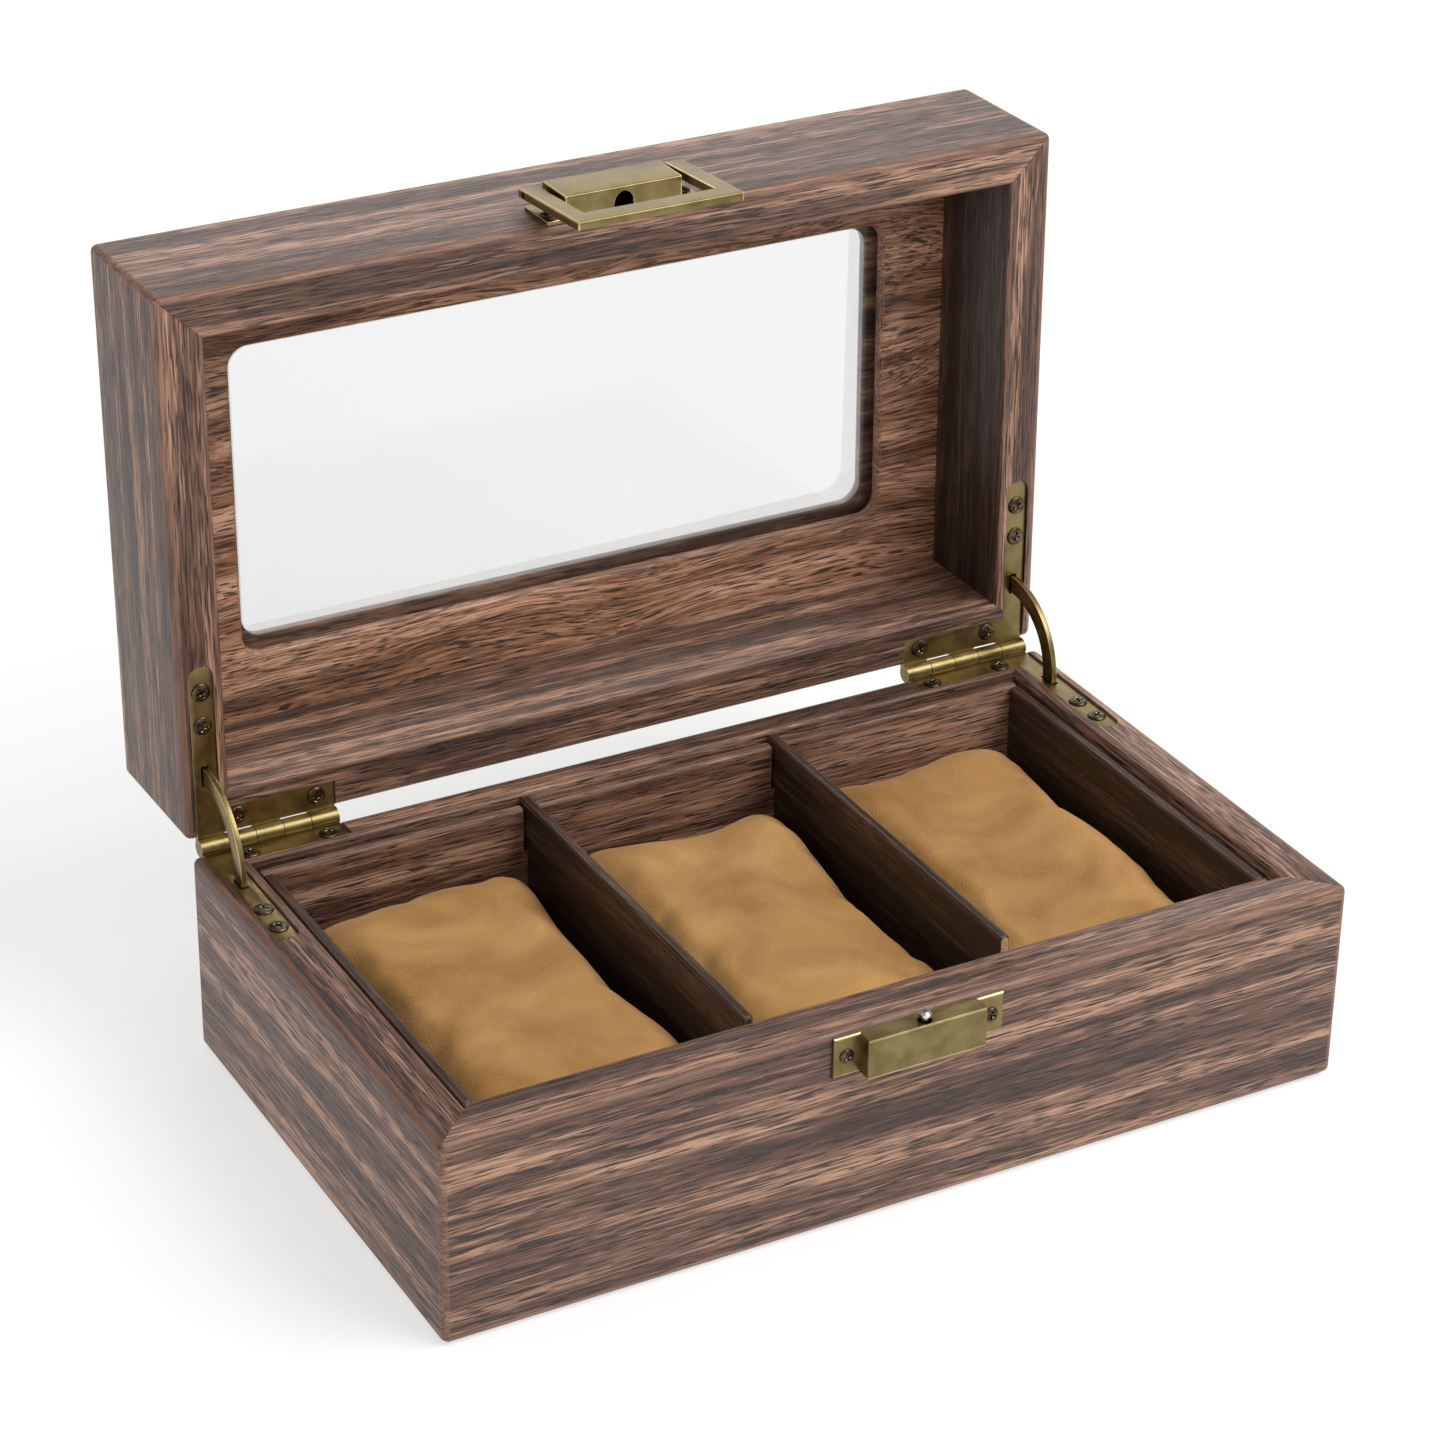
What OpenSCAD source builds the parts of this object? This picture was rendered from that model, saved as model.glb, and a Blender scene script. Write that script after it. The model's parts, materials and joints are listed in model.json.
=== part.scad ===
// Watch box: a wrapped base with three cushions, and a glass-topped lid on brass stop hinges.
// Millimetres. The origin is the centre of the underside, X runs along the front, Y to the back, Z up.
// The lid is modelled shut and then swung open about the hinge pins, which is how the box stands at rest.

/* [Box] */
// Outside length along the front
box_w = 206; // [170:1:260]
// Outside depth, front to back
box_d = 120; // [104:1:150]
// Outside height of the base
base_h = 46; // [38:1:60]
// Outside height of the lid
lid_h = 35; // [28:1:50]
// Angle at which the lid stands open, in degrees
lid_open = 91; // [60:1:91]
// Gap between the two rims when the lid is shut
rim_gap = 0.3; // [0.2:0.1:0.6]

/* [Boards] */
// Thickness of the front and side boards, wrap included
board_t = 10; // [9:0.5:12]
// Thickness of the base's back board
back_t = 7; // [6:0.5:10]
// Thickness of the bottom panel
bottom_t = 4; // [3:0.5:6]
// Thickness of the felt under the base
felt_t = 0.6; // [0.4:0.1:1.5]
// How far the felt stays in from the base's edges
felt_inset = 1.5; // [0.5:0.5:5]
// Thickness of the tray floor
floor_t = 2; // [1.5:0.5:4]

/* [Tray] */
// Thickness of the liner boards
liner_t = 2.5; // [1.5:0.5:4]
// Gap between the liner boards and the side boards
liner_gap = 1.2; // [0.5:0.1:2]
// Drop from the rim to the tops of the liner boards
liner_drop = 1.8; // [1.6:0.1:6]
// Thickness of a divider
divider_t = 2.4; // [1.5:0.1:4]
// Drop from the rim to the tops of the dividers
divider_drop = 0.6; // [0.5:0.1:5]
// Free play of the right divider between the front and back liners
divider_play = 2.6; // [0.5:0.1:4]
// Height of the tongue at a divider's back end
tongue_h = 12; // [6:0.5:16]
// Clearance of a tongue in the back liner and the back board
tongue_gap = 0.2; // [0.1:0.05:0.4]

/* [Window] */
// Width of the rim of the top panel, from the lid's outside to the window's front and back edges
window_rim = 26.8; // [20:0.1:36]
// The same rim at the window's two ends
window_end_rim = 27.2; // [20:0.1:40]
// How much wider the inner panel's opening is, on each side
window_step = 1.8; // [0.5:0.1:2.5]
// Corner radius of the window
window_r = 4.5; // [2:0.5:10]
// Thickness of the top panel
top_t = 5; // [4:0.5:8]
// Thickness of the inner panel
inner_t = 3; // [2:0.5:5]
// Thickness of the glass
glass_t = 2; // [1.5:0.1:3]
// How far the glass reaches past the window's edge
glass_lap = 3.6; // [3:0.1:6]
// Clearance round the glass
glass_gap = 0.1; // [0.05:0.05:0.3]

/* [Hinges] */
// Distance from the back face to the hinge pin
pin_out = 2; // [1.9:0.05:4]
// Radius of the hinge pin
pin_r = 0.9; // [0.6:0.05:1.05]
// Radial clearance of the pin in its knuckles
pin_fit = 0.05; // [0.02:0.01:0.1]
// Outside radius of the knuckles
knuckle_r = 1.95; // [1.6:0.05:1.95]
// Length of the barrel
barrel_l = 31; // [24:0.5:36]
// Number of knuckles in the barrel
knuckles = 5; // [3:2:9]
// Gap between knuckles
knuckle_gap = 0.15; // [0.1:0.05:0.3]
// Thickness of the hinge leaves
leaf_t = 1.2; // [0.8:0.1:1.5]
// Depth of the leaves' faces below the rim
leaf_sink = 0.5; // [0.5:0.1:1]
// Reach of the short arm from the pin
leaf_reach = 8; // [7.6:0.1:10]
// Distance from the pin to the tip of the long arm
arm_l = 41.3; // [36:0.1:48]
// Width of the long arm
arm_w = 5.3; // [5:0.1:6]
// Distance from the box's side to the outer edge of the long arm
arm_in = 2.5; // [2:0.1:4]
// Distance from the pin to the first screw of the long arm
arm_screw_near = 27.8; // [24:0.1:30]
// Distance from the pin to the second screw of the long arm
arm_screw_far = 35.4; // [33:0.1:38]
// Distance from the pin to the screws of the short arm
short_screw_in = 5.4; // [5:0.1:7]
// Distance from the barrel's inner end to the first screw of the short arm
short_screw_near = 4.1; // [3:0.1:8]
// Distance from the barrel's outer end to the second screw of the short arm
short_screw_far = 9.2; // [7:0.1:12]
// Clearance round a leaf in its recess
leaf_gap = 0.1; // [0.05:0.05:0.3]

/* [Stay blades] */
// Outside radius of a blade about the hinge pin
stay_r = 18; // [16:0.5:20]
// Width of a blade along its radius
stay_w = 4; // [3:0.5:5]
// Thickness of a blade
stay_t = 1.2; // [1:0.1:1.4]
// Clearance round a blade in its slots and its pocket
stay_gap = 0.3; // [0.2:0.05:0.4]
// Angle of blade that stays inside each leaf, in degrees
stay_tuck = 12; // [8:1:15]

/* [Screws] */
// Radius of a hinge screw's head
head_r = 2; // [1.6:0.1:2.2]
// Height of a screw's head
head_h = 0.5; // [0.3:0.05:0.5]
// Radius of a hinge screw's shank
shank_r = 1.05; // [0.8:0.05:1.2]
// Length of a screw's shank
shank_l = 6; // [4:0.5:8]
// Radial clearance of a shank in its hole
shank_gap = 0.1; // [0.05:0.05:0.2]
// Radius of a latch screw's head
latch_head_r = 1.6; // [1.2:0.05:1.8]
// Radius of a latch screw's shank
latch_shank_r = 0.6; // [0.4:0.05:0.8]
// Width of the cross recess
cross_w = 0.5; // [0.3:0.1:0.8]
// Depth of the cross recess
cross_d = 0.3; // [0.1:0.05:0.3]

/* [Catch] */
// Length of the catch block along the front
catch_w = 27; // [22:1:34]
// Height of the catch block
catch_h = 9; // [7:0.5:12]
// How far the catch block stands out from the base
catch_out = 4.3; // [3.5:0.1:4.3]
// Drop from the rim to the top of the catch block
catch_drop = 0.9; // [0.5:0.1:3]
// Length of each end flange
flange_l = 5.8; // [5:0.1:8]
// Thickness of the latch's sheet brass
sheet_t = 0.8; // [0.6:0.1:1]
// Radius of the stud's shank
stud_r = 0.8; // [0.6:0.05:1]
// Radius of the stud's head
stud_head_r = 1.3; // [1:0.05:1.5]
// Clearance of the stud's head in the catch block's top
stud_gap = 0.2; // [0.1:0.05:0.4]
// Height of the stud above the catch block
stud_up = 2.1; // [1.5:0.1:2.5]

/* [Latch] */
// Height of the upper latch block
block_h = 10.5; // [8:0.5:14]
// How far the upper block stands out from the lid
block_out = 5.6; // [5.6:0.1:7]
// Gap between the rim and the upper block
block_up = 0.6; // [0.4:0.1:2]
// Height of the latch screws, as a share of the upper block's height
latch_screw_up = 0.38; // [0.3:0.01:0.6]
// How far the plate's ends stay in from the frame's outer edges
plate_in = 1.2; // [0.5:0.1:2]
// Width of the notch that takes the stud
notch_w = 4.3; // [3.6:0.1:6]
// Width of each arm of the latch frame
bail_arm_w = 4; // [3:0.1:5]
// Gap between the upper block and each arm
bail_side = 1.3; // [0.6:0.1:2]
// Height of the frame's lower bar
bail_bar_h = 5.5; // [4:0.1:7]
// Thickness of the frame's arms
bail_t = 2; // [1.6:0.1:2.2]
// Thickness of the frame's lower bar
bail_bar_t = 1.7; // [1.4:0.1:2]
// Gap between the frame's bar and the catch block when latched
bail_hook_gap = 0.35; // [0.3:0.05:1]
// Clearance of the resting frame over the catch block as the lid shuts
bail_clear = 0.15; // [0.1:0.05:0.5]
// Reach of the frame's arms past the cross pin
bail_top = 2.5; // [1.5:0.1:4]
// Drop from the upper block's top to the cross pin
bail_pin_drop = 2.1; // [1.8:0.1:4]
// Radius of the frame's cross pin
bail_pin_r = 0.7; // [0.5:0.05:0.8]

/* [Cushions] */
// Clearance between a cushion and the tray on each side
cushion_gap = 1; // [0.5:0.1:3]
// Height of a cushion
cushion_h = 31; // [20:1:32]
// Corner radius of a cushion
cushion_r = 11; // [4:1:14]
// Thickness of a cushion's suede cover
cover_t = 1.2; // [0.8:0.1:2]
// Clearance between the cover and its foam
foam_gap = 0.1; // [0.05:0.05:0.3]

/* [Hidden] */
$fn = 48;
slack = 1;                        // how far a cutter passes the face that it opens
arc_step = 6;                     // degrees of arc for each flat of a blade
stay_over = 3;                    // degrees of free pocket past the end of a blade
head_side = 0.4;                  // upright share of a screw head's height
head_flat = 0.7;                  // flat share of its radius
cross_reach = 0.6;                // share of its radius that the cross recess takes
stud_neck = 1.2;                  // from the stud's top down to the underside of its head
stud_brim = 0.9;                  // down to where the head is widest
stud_dome = 0.4;                  // down to where it rounds over
notch_web = 0.3;                  // brass left above the stud's notch
pin_fit_latch = 0.05;             // radial clearance of the cross pin
pin_wall_gap = 0.1;               // between the cross pin and the block's front wall
pin_short = 0.5;                  // how far the cross pin's ends stay inside the arms
half_w = box_w / 2;
half_d = box_d / 2;
inner_w = box_w - 2 * board_t;    // between the side boards
lid_z = base_h + rim_gap;         // lid's rim when shut
pin_y = half_d + pin_out;
pin_z = base_h + rim_gap / 2;
floor_z = felt_t + bottom_t + floor_t;
liner_z = base_h - liner_drop;
tray_front = -half_d + board_t;
tray_back = half_d - back_t;
bay_front = tray_front + liner_gap + liner_t;
bay_back = tray_back - liner_gap - liner_t;
bay_side = inner_w / 2 - liner_gap - liner_t;
bay_w = (2 * bay_side - 2 * divider_t) / 3;
divider_x = bay_w / 2 + divider_t / 2;
divider_top = base_h - divider_drop;
tongue_l = tray_back - tongue_gap - bay_back;

inner_z = lid_z + lid_h - top_t - inner_t;   // inner panel's lower face
window_w = box_w - 2 * window_end_rim;
window_d = box_d - 2 * window_rim;

leaf_x1 = half_w - arm_in;                   // outer edge of the right hinge
leaf_x0 = leaf_x1 - barrel_l;
leaf_top = base_h - leaf_sink;
leaf_stop = pin_y - knuckle_r - knuckle_gap; // where the leaf stops short of the other leaf's knuckles
knuckle_l = barrel_l / knuckles;
arm_x = leaf_x1 - arm_w / 2;
arm_screws = [pin_y - arm_screw_near, pin_y - arm_screw_far];
short_screws = [leaf_x0 + short_screw_near, leaf_x1 - short_screw_far];
short_screw_y = pin_y - short_screw_in;

catch_z = base_h - catch_drop - catch_h;
catch_screw_x = catch_w / 2 + flange_l / 2;
stud_y = -half_d - sheet_t / 2 - catch_out / 2;
stud_hole_r = stud_head_r + stud_gap;
stud_top = catch_h + stud_up;

block_z = lid_z + block_up;
plate_w = catch_w + 2 * (bail_side + bail_arm_w - plate_in);
latch_screw_x = catch_w / 2 + (plate_w - catch_w) / 4;
latch_screw_z = block_z + block_h * latch_screw_up;
bail_pin_z = block_z + block_h - bail_pin_drop;
bail_pin_y = -half_d - block_out + sheet_t + bail_pin_r + pin_wall_gap;
bail_in = bail_pin_z - catch_z + bail_hook_gap;      // from the cross pin to the bar's inner edge
bail_x = catch_w / 2 + bail_side + bail_arm_w;
bail_under = -bail_pin_y - half_d + bail_t / 2 - bail_bar_t;  // bar's underside above the front, laid flat
bail_lift = asin((catch_out + bail_clear - bail_under) / bail_in);   // frame's angle at rest

bay_l = bay_back - bay_front;
cushion_l = bay_l - 2 * cushion_gap;
cushion_w = bay_w - 2 * cushion_gap;

base_wood = [0.34, 0.24, 0.20];
liner_wood = [0.26, 0.17, 0.13];
brass = [0.50, 0.45, 0.28];
steel = [0.35, 0.34, 0.32];
silver = [0.80, 0.80, 0.80];
suede = [0.69, 0.48, 0.26];
clear = [0.90, 0.93, 0.93, 0.40];

// ---- Places ----

// Swings the shut lid open about the hinge pins.
module open_lid() {
    translate([0, pin_y, pin_z]) rotate([-lid_open, 0, 0]) translate([0, -pin_y, -pin_z]) children();
}

// Turns a piece of the base's hinge over into its place on the shut lid.
module to_lid() {
    translate([0, 0, 2 * pin_z]) mirror([0, 0, 1]) children();
}

// Turns a piece of the right side over to the left side.
module to_left() {
    mirror([1, 0, 0]) children();
}

// ---- Shapes ----

// Plan of the front board of a mitred frame.
module front_plan(t) {
    polygon([[-half_w, -half_d], [half_w, -half_d], [half_w - board_t, t - half_d],
        [board_t - half_w, t - half_d]]);
}

// Plan of the right board of a mitred frame, between a front and a back board of their own thicknesses.
module right_plan(front, back) {
    polygon([[half_w, -half_d], [half_w, half_d], [half_w - board_t, half_d - back],
        [half_w - board_t, front - half_d]]);
}

// Plate with rounded corners, standing on z = 0.
module rounded_plate(w, d, h, r) {
    linear_extrude(h) hull() for (x = [-1, 1], y = [-1, 1])
        translate([x * (w / 2 - r), y * (d / 2 - r)]) circle(r);
}

// Ring sector in the YZ plane about the hinge pin. Angles count from the front, upwards.
module sector(r0, r1, a0, a1, t) {
    steps = ceil((a1 - a0) / arc_step);
    arc = [for (i = [0:steps]) a0 + (a1 - a0) * i / steps];
    outline = concat([for (a = arc) r1 * [-cos(a), sin(a)]],
        [for (i = [steps:-1:0]) r0 * [-cos(arc[i]), sin(arc[i])]]);
    translate([-t / 2, pin_y, pin_z]) rotate([90, 0, 90]) linear_extrude(t) polygon(outline);
}

// ---- Hinges, drawn for the right side ----

// Outline of a leaf seen from above: a short arm along the back and a long arm along the side.
module leaf_plan(grow, back) {
    tip = pin_y - arm_l + arm_w / 2;
    translate([leaf_x0 - grow, pin_y - leaf_reach - grow])
        square([barrel_l + 2 * grow, back - pin_y + leaf_reach + grow]);
    translate([arm_x - arm_w / 2 - grow, tip]) square([arm_w + 2 * grow, back - tip]);
    translate([arm_x, tip]) circle(arm_w / 2 + grow);
}

// The knuckles numbered first, first + 2 and so on, with the webs that join them to the leaf.
module knuckle_row(first) {
    for (i = [first:2:knuckles - 1]) {
        x0 = leaf_x0 + i * knuckle_l + (i == 0 ? 0 : knuckle_gap / 2);
        x1 = leaf_x0 + (i + 1) * knuckle_l - (i == knuckles - 1 ? 0 : knuckle_gap / 2);
        translate([x0, pin_y, pin_z]) rotate([0, 90, 0]) cylinder(h = x1 - x0, r = knuckle_r);
        translate([x0, leaf_stop - slack, leaf_top - leaf_t])
            cube([x1 - x0, pin_y - leaf_stop + slack, leaf_t]);
    }
}

module each_hinge_screw() {
    for (y = arm_screws) translate([arm_x, y, leaf_top]) children();
    for (x = short_screws) translate([x, short_screw_y, leaf_top]) children();
}

module hinge_leaf(first) {
    difference() {
        union() {
            translate([0, 0, leaf_top - leaf_t]) linear_extrude(leaf_t) leaf_plan(0, leaf_stop);
            knuckle_row(first);
        }
        translate([leaf_x0 - slack, pin_y, pin_z]) rotate([0, 90, 0])
            cylinder(h = barrel_l + 2 * slack, r = pin_r + pin_fit);
        stay_slot(leaf_t);
        each_hinge_screw() translate([0, 0, -leaf_t - slack])
            cylinder(h = leaf_t + 2 * slack, r = shank_r + shank_gap);
    }
}

module hinge_pin() {
    translate([leaf_x0, pin_y, pin_z]) rotate([0, 90, 0]) cylinder(h = barrel_l, r = pin_r);
}

// Straight slot in the long arm, where the blade passes through it.
module stay_slot(depth) {
    translate([arm_x - stay_t / 2 - stay_gap, pin_y - stay_r - stay_gap, leaf_top - depth - slack])
        cube([stay_t + 2 * stay_gap, stay_w + 2 * stay_gap, depth + 2 * slack]);
}

// Recess for a leaf in the rim, the pocket for the blade and the holes for the screws.
module hinge_recess() {
    translate([0, 0, leaf_top - leaf_t]) linear_extrude(leaf_t + leaf_sink + slack)
        leaf_plan(leaf_gap, pin_y + knuckle_r);
    translate([arm_x, 0, 0])
        sector(stay_r - stay_w - stay_gap, stay_r + stay_gap, -lid_open / 2 - stay_tuck - stay_over, 0,
            stay_t + 2 * stay_gap);
    each_hinge_screw() translate([0, 0, -leaf_t - shank_l])
        cylinder(h = shank_l + slack, r = shank_r + shank_gap);
}

// The same recesses on both sides, for the boards of the base.
module hinge_recesses() {
    hinge_recess();
    to_left() hinge_recess();
}

// Cross-head screw with its seat at z = 0 and its shank below.
module screw(r, shank, length) {
    difference() {
        rotate_extrude() polygon([[0, -length], [shank, -length], [shank, 0], [r, 0], [r, head_h * head_side],
            [r * head_flat, head_h], [0, head_h]]);
        for (a = [0, 90]) rotate(a) translate([-r * cross_reach, -cross_w / 2, head_h - cross_d])
            cube([2 * r * cross_reach, cross_w, cross_d + slack]);
    }
}

module hinge_screws() {
    each_hinge_screw() screw(head_r, shank_r, leaf_t + shank_l - slack);
}

module stay_blade() {
    translate([arm_x, 0, 0]) sector(stay_r - stay_w, stay_r, -stay_tuck, lid_open + stay_tuck, stay_t);
}

// ---- Base ----

// Turns a shape drawn along Z so that its Z points out of the front of the box.
module out_of_front() {
    translate([0, -half_d, 0]) rotate([90, 0, 0]) children();
}

module each_catch_screw() {
    for (x = [-1, 1]) translate([x * catch_screw_x, catch_z + catch_h / 2, 0]) children();
}

module base_board() {
    translate([0, 0, felt_t]) linear_extrude(base_h - felt_t) children();
}

module base_front_board() {
    color(base_wood) difference() {
        base_board() front_plan(board_t);
        out_of_front() each_catch_screw() translate([0, 0, -shank_l])
            cylinder(h = shank_l + slack, r = latch_shank_r + shank_gap);
    }
}

module base_back_board() {
    color(base_wood) difference() {
        base_board() mirror([0, 1]) front_plan(back_t);
        hinge_recesses();
    }
}

module base_right_board() {
    color(base_wood) difference() {
        base_board() right_plan(board_t, back_t);
        hinge_recess();
    }
}

module base_left_board() {
    to_left() base_right_board();
}

module base_bottom_panel() {
    color(liner_wood) translate([-inner_w / 2, tray_front, felt_t])
        cube([inner_w, tray_back - tray_front, bottom_t]);
}

module base_felt() {
    color("black") translate([felt_inset - half_w, felt_inset - half_d, 0])
        cube([box_w - 2 * felt_inset, box_d - 2 * felt_inset, felt_t]);
}

module tray_floor() {
    color(liner_wood) translate([-inner_w / 2, tray_front, felt_t + bottom_t])
        cube([inner_w, tray_back - tray_front, floor_t]);
}

module liner_front() {
    color(liner_wood) translate([-bay_side - liner_t, bay_front - liner_t, floor_z])
        cube([2 * (bay_side + liner_t), liner_t, liner_z - floor_z]);
}

// The back liner, slotted for the tongues of the dividers.
module liner_back() {
    color(liner_wood) difference() {
        translate([-bay_side - liner_t, bay_back, floor_z])
            cube([2 * (bay_side + liner_t), liner_t, liner_z - floor_z]);
        for (side = [-1, 1]) translate([side * divider_x - divider_t / 2 - tongue_gap, bay_back - slack,
            divider_top - tongue_h - tongue_gap])
            cube([divider_t + 2 * tongue_gap, liner_t + 2 * slack, tongue_h + slack]);
    }
}

module liner_right() {
    color(liner_wood) translate([bay_side, bay_front, floor_z])
        cube([liner_t, bay_l, liner_z - floor_z]);
}

module liner_left() {
    to_left() liner_right();
}

// Divider from y to the back liner, with a tongue that passes through the liner to the back board.
module divider(x, y) {
    color(liner_wood) translate([x - divider_t / 2, 0, 0]) union() {
        translate([0, y, floor_z]) cube([divider_t, bay_back - y, divider_top - floor_z]);
        translate([0, bay_back - slack, divider_top - tongue_h])
            cube([divider_t, tongue_l + slack, tongue_h]);
    }
}

module divider_left() {
    divider(-divider_x, bay_front);
}

module divider_right() {
    divider(divider_x, bay_front + divider_play);
}

// ---- Latch ----

// Box of sheet brass, open towards the board behind it, standing on z = 0.
module sheet_box(w, h, out) {
    difference() {
        translate([-w / 2, 0, 0]) cube([w, h, out]);
        translate([sheet_t - w / 2, sheet_t, -slack])
            cube([w - 2 * sheet_t, h - 2 * sheet_t, out - sheet_t + slack]);
    }
}

module catch_body() {
    color(brass) difference() {
        out_of_front() difference() {
            translate([0, catch_z, 0]) union() {
                sheet_box(catch_w, catch_h, catch_out);
                for (side = [-1, 1]) translate([side * (catch_w + flange_l) / 2 - flange_l / 2, 0, 0])
                    cube([flange_l, catch_h, sheet_t]);
            }
            each_catch_screw() translate([0, 0, -slack])
                cylinder(h = sheet_t + 2 * slack, r = latch_shank_r + shank_gap);
        }
        translate([0, stud_y, catch_z + catch_h - sheet_t - slack])
            cylinder(h = sheet_t + 2 * slack, r = stud_hole_r);
        translate([0, stud_y, catch_z - slack])
            cylinder(h = sheet_t + 2 * slack, r = stud_r + pin_fit);
    }
}

// Stud riveted in the catch block's floor, its head above the block.
module catch_stud() {
    color(silver) translate([0, stud_y, catch_z]) rotate_extrude() polygon([[0, 0], [stud_r, 0],
        [stud_r, stud_top - stud_neck], [stud_head_r, stud_top - stud_brim],
        [stud_head_r, stud_top - stud_dome], [stud_r, stud_top], [0, stud_top]]);
}

module catch_screws() {
    color(steel) out_of_front() each_catch_screw() translate([0, 0, sheet_t])
        screw(latch_head_r, latch_shank_r, sheet_t + shank_l - slack);
}

module each_latch_screw() {
    for (x = [-1, 1]) translate([x * latch_screw_x, latch_screw_z, 0]) children();
}

module latch_plate() {
    color(brass) open_lid() out_of_front() difference() {
        translate([-plate_w / 2, block_z, 0]) cube([plate_w, block_h, sheet_t]);
        each_latch_screw() translate([0, 0, -slack])
            cylinder(h = sheet_t + 2 * slack, r = latch_shank_r + shank_gap);
    }
}

// Hollow block on the plate, with a round-topped notch in its lower end for the stud.
module latch_block() {
    notch_top = block_out - sheet_t - notch_web;
    color(brass) open_lid() difference() {
        out_of_front() difference() {
            translate([0, block_z, sheet_t]) sheet_box(catch_w, block_h, block_out - sheet_t);
            translate([-notch_w / 2, block_z - slack, sheet_t - slack])
                cube([notch_w, sheet_t + 2 * slack, notch_top - notch_w / 2 - sheet_t + slack]);
            translate([0, block_z + sheet_t + slack, notch_top - notch_w / 2]) rotate([90, 0, 0])
                cylinder(h = sheet_t + 2 * slack, r = notch_w / 2);
        }
        cross_pin(catch_w + 2 * slack, bail_pin_r + pin_fit_latch);
    }
}

// Cylinder on the latch frame's axis.
module cross_pin(l, r) {
    translate([-l / 2, bail_pin_y, bail_pin_z]) rotate([0, 90, 0]) cylinder(h = l, r = r);
}

module latch_pin() {
    color(brass) open_lid() cross_pin(2 * bail_x - 2 * pin_short, bail_pin_r);
}

module latch_screws() {
    color(steel) open_lid() out_of_front() each_latch_screw() translate([0, 0, sheet_t])
        screw(latch_head_r, latch_shank_r, sheet_t + shank_l - slack);
}

// Swinging frame, turned up by bail_lift so that it clears the catch as the lid shuts.
module latch_bail() {
    color(brass) open_lid() difference() {
        translate([0, bail_pin_y, bail_pin_z]) rotate([-bail_lift, 0, 0]) {
            for (side = [-1, 1]) translate([side * (bail_x - bail_arm_w / 2) - bail_arm_w / 2, -bail_t / 2,
                -bail_in - bail_bar_h]) cube([bail_arm_w, bail_t, bail_in + bail_bar_h + bail_top]);
            translate([-bail_x, -bail_t / 2, -bail_in - bail_bar_h])
                cube([2 * bail_x, bail_bar_t, bail_bar_h]);
        }
        cross_pin(2 * bail_x + 2 * slack, bail_pin_r + pin_fit_latch);
    }
}

// ---- Lid ----

module lid_rail() {
    translate([0, 0, lid_z]) linear_extrude(lid_h) children();
}

module lid_front_rail() {
    color(base_wood) open_lid() difference() {
        lid_rail() front_plan(board_t);
        out_of_front() each_latch_screw() translate([0, 0, -shank_l])
            cylinder(h = shank_l + slack, r = latch_shank_r + shank_gap);
    }
}

module lid_back_rail() {
    color(base_wood) open_lid() difference() {
        lid_rail() mirror([0, 1]) front_plan(board_t);
        to_lid() hinge_recesses();
    }
}

module lid_right_rail() {
    color(base_wood) open_lid() difference() {
        lid_rail() right_plan(board_t, board_t);
        to_lid() hinge_recess();
    }
}

module lid_left_rail() {
    to_left() lid_right_rail();
}

module lid_top_panel() {
    color(base_wood) open_lid() translate([0, 0, lid_z + lid_h - top_t]) difference() {
        translate([-inner_w / 2, board_t - half_d, 0]) cube([inner_w, box_d - 2 * board_t, top_t]);
        translate([0, 0, -slack]) rounded_plate(window_w, window_d, top_t + 2 * slack, window_r);
        translate([0, 0, -slack]) rounded_plate(window_w + 2 * glass_lap + 2 * glass_gap,
            window_d + 2 * glass_lap + 2 * glass_gap, glass_t + glass_gap + slack, window_r);
    }
}

module lid_glass() {
    color(clear) open_lid() translate([0, 0, lid_z + lid_h - top_t])
        rounded_plate(window_w + 2 * glass_lap, window_d + 2 * glass_lap, glass_t, window_r);
}

module lid_inner_panel() {
    color(liner_wood) open_lid() translate([0, 0, inner_z]) difference() {
        translate([-inner_w / 2, board_t - half_d, 0]) cube([inner_w, box_d - 2 * board_t, inner_t]);
        translate([0, 0, -slack]) rounded_plate(window_w + 2 * window_step, window_d + 2 * window_step,
            inner_t + 2 * slack, window_r);
    }
}

// ---- Hinge nodes ----

module hinge_right_base_leaf() { color(brass) hinge_leaf(1); }
module hinge_left_base_leaf() { color(brass) to_left() hinge_leaf(1); }
module hinge_right_pin() { color(brass) hinge_pin(); }
module hinge_left_pin() { color(brass) to_left() hinge_pin(); }
module hinge_right_base_screws() { color(steel) hinge_screws(); }
module hinge_left_base_screws() { color(steel) to_left() hinge_screws(); }
module hinge_right_lid_leaf() { color(brass) open_lid() to_lid() hinge_leaf(0); }
module hinge_left_lid_leaf() { color(brass) open_lid() to_lid() to_left() hinge_leaf(0); }
module hinge_right_lid_screws() { color(steel) open_lid() to_lid() hinge_screws(); }
module hinge_left_lid_screws() { color(steel) open_lid() to_lid() to_left() hinge_screws(); }
module stay_right() { color(brass) stay_blade(); }
module stay_left() { color(brass) to_left() stay_blade(); }

// ---- Cushions ----

// Rounded block made of three crossed rounded prisms, standing on z = 0.
module pillow(w, l, h, r) {
    intersection() {
        rounded_plate(w, l, h, r);
        translate([0, l / 2, h / 2]) rotate([90, 0, 0]) rounded_plate(w, h, l, r);
        translate([-w / 2, 0, h / 2]) rotate([90, 0, 90]) rounded_plate(l, h, w, r);
    }
}

module cushion_place(bay) {
    translate([bay * (bay_w + divider_t), (bay_front + bay_back) / 2, floor_z + foam_gap]) children();
}

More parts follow.
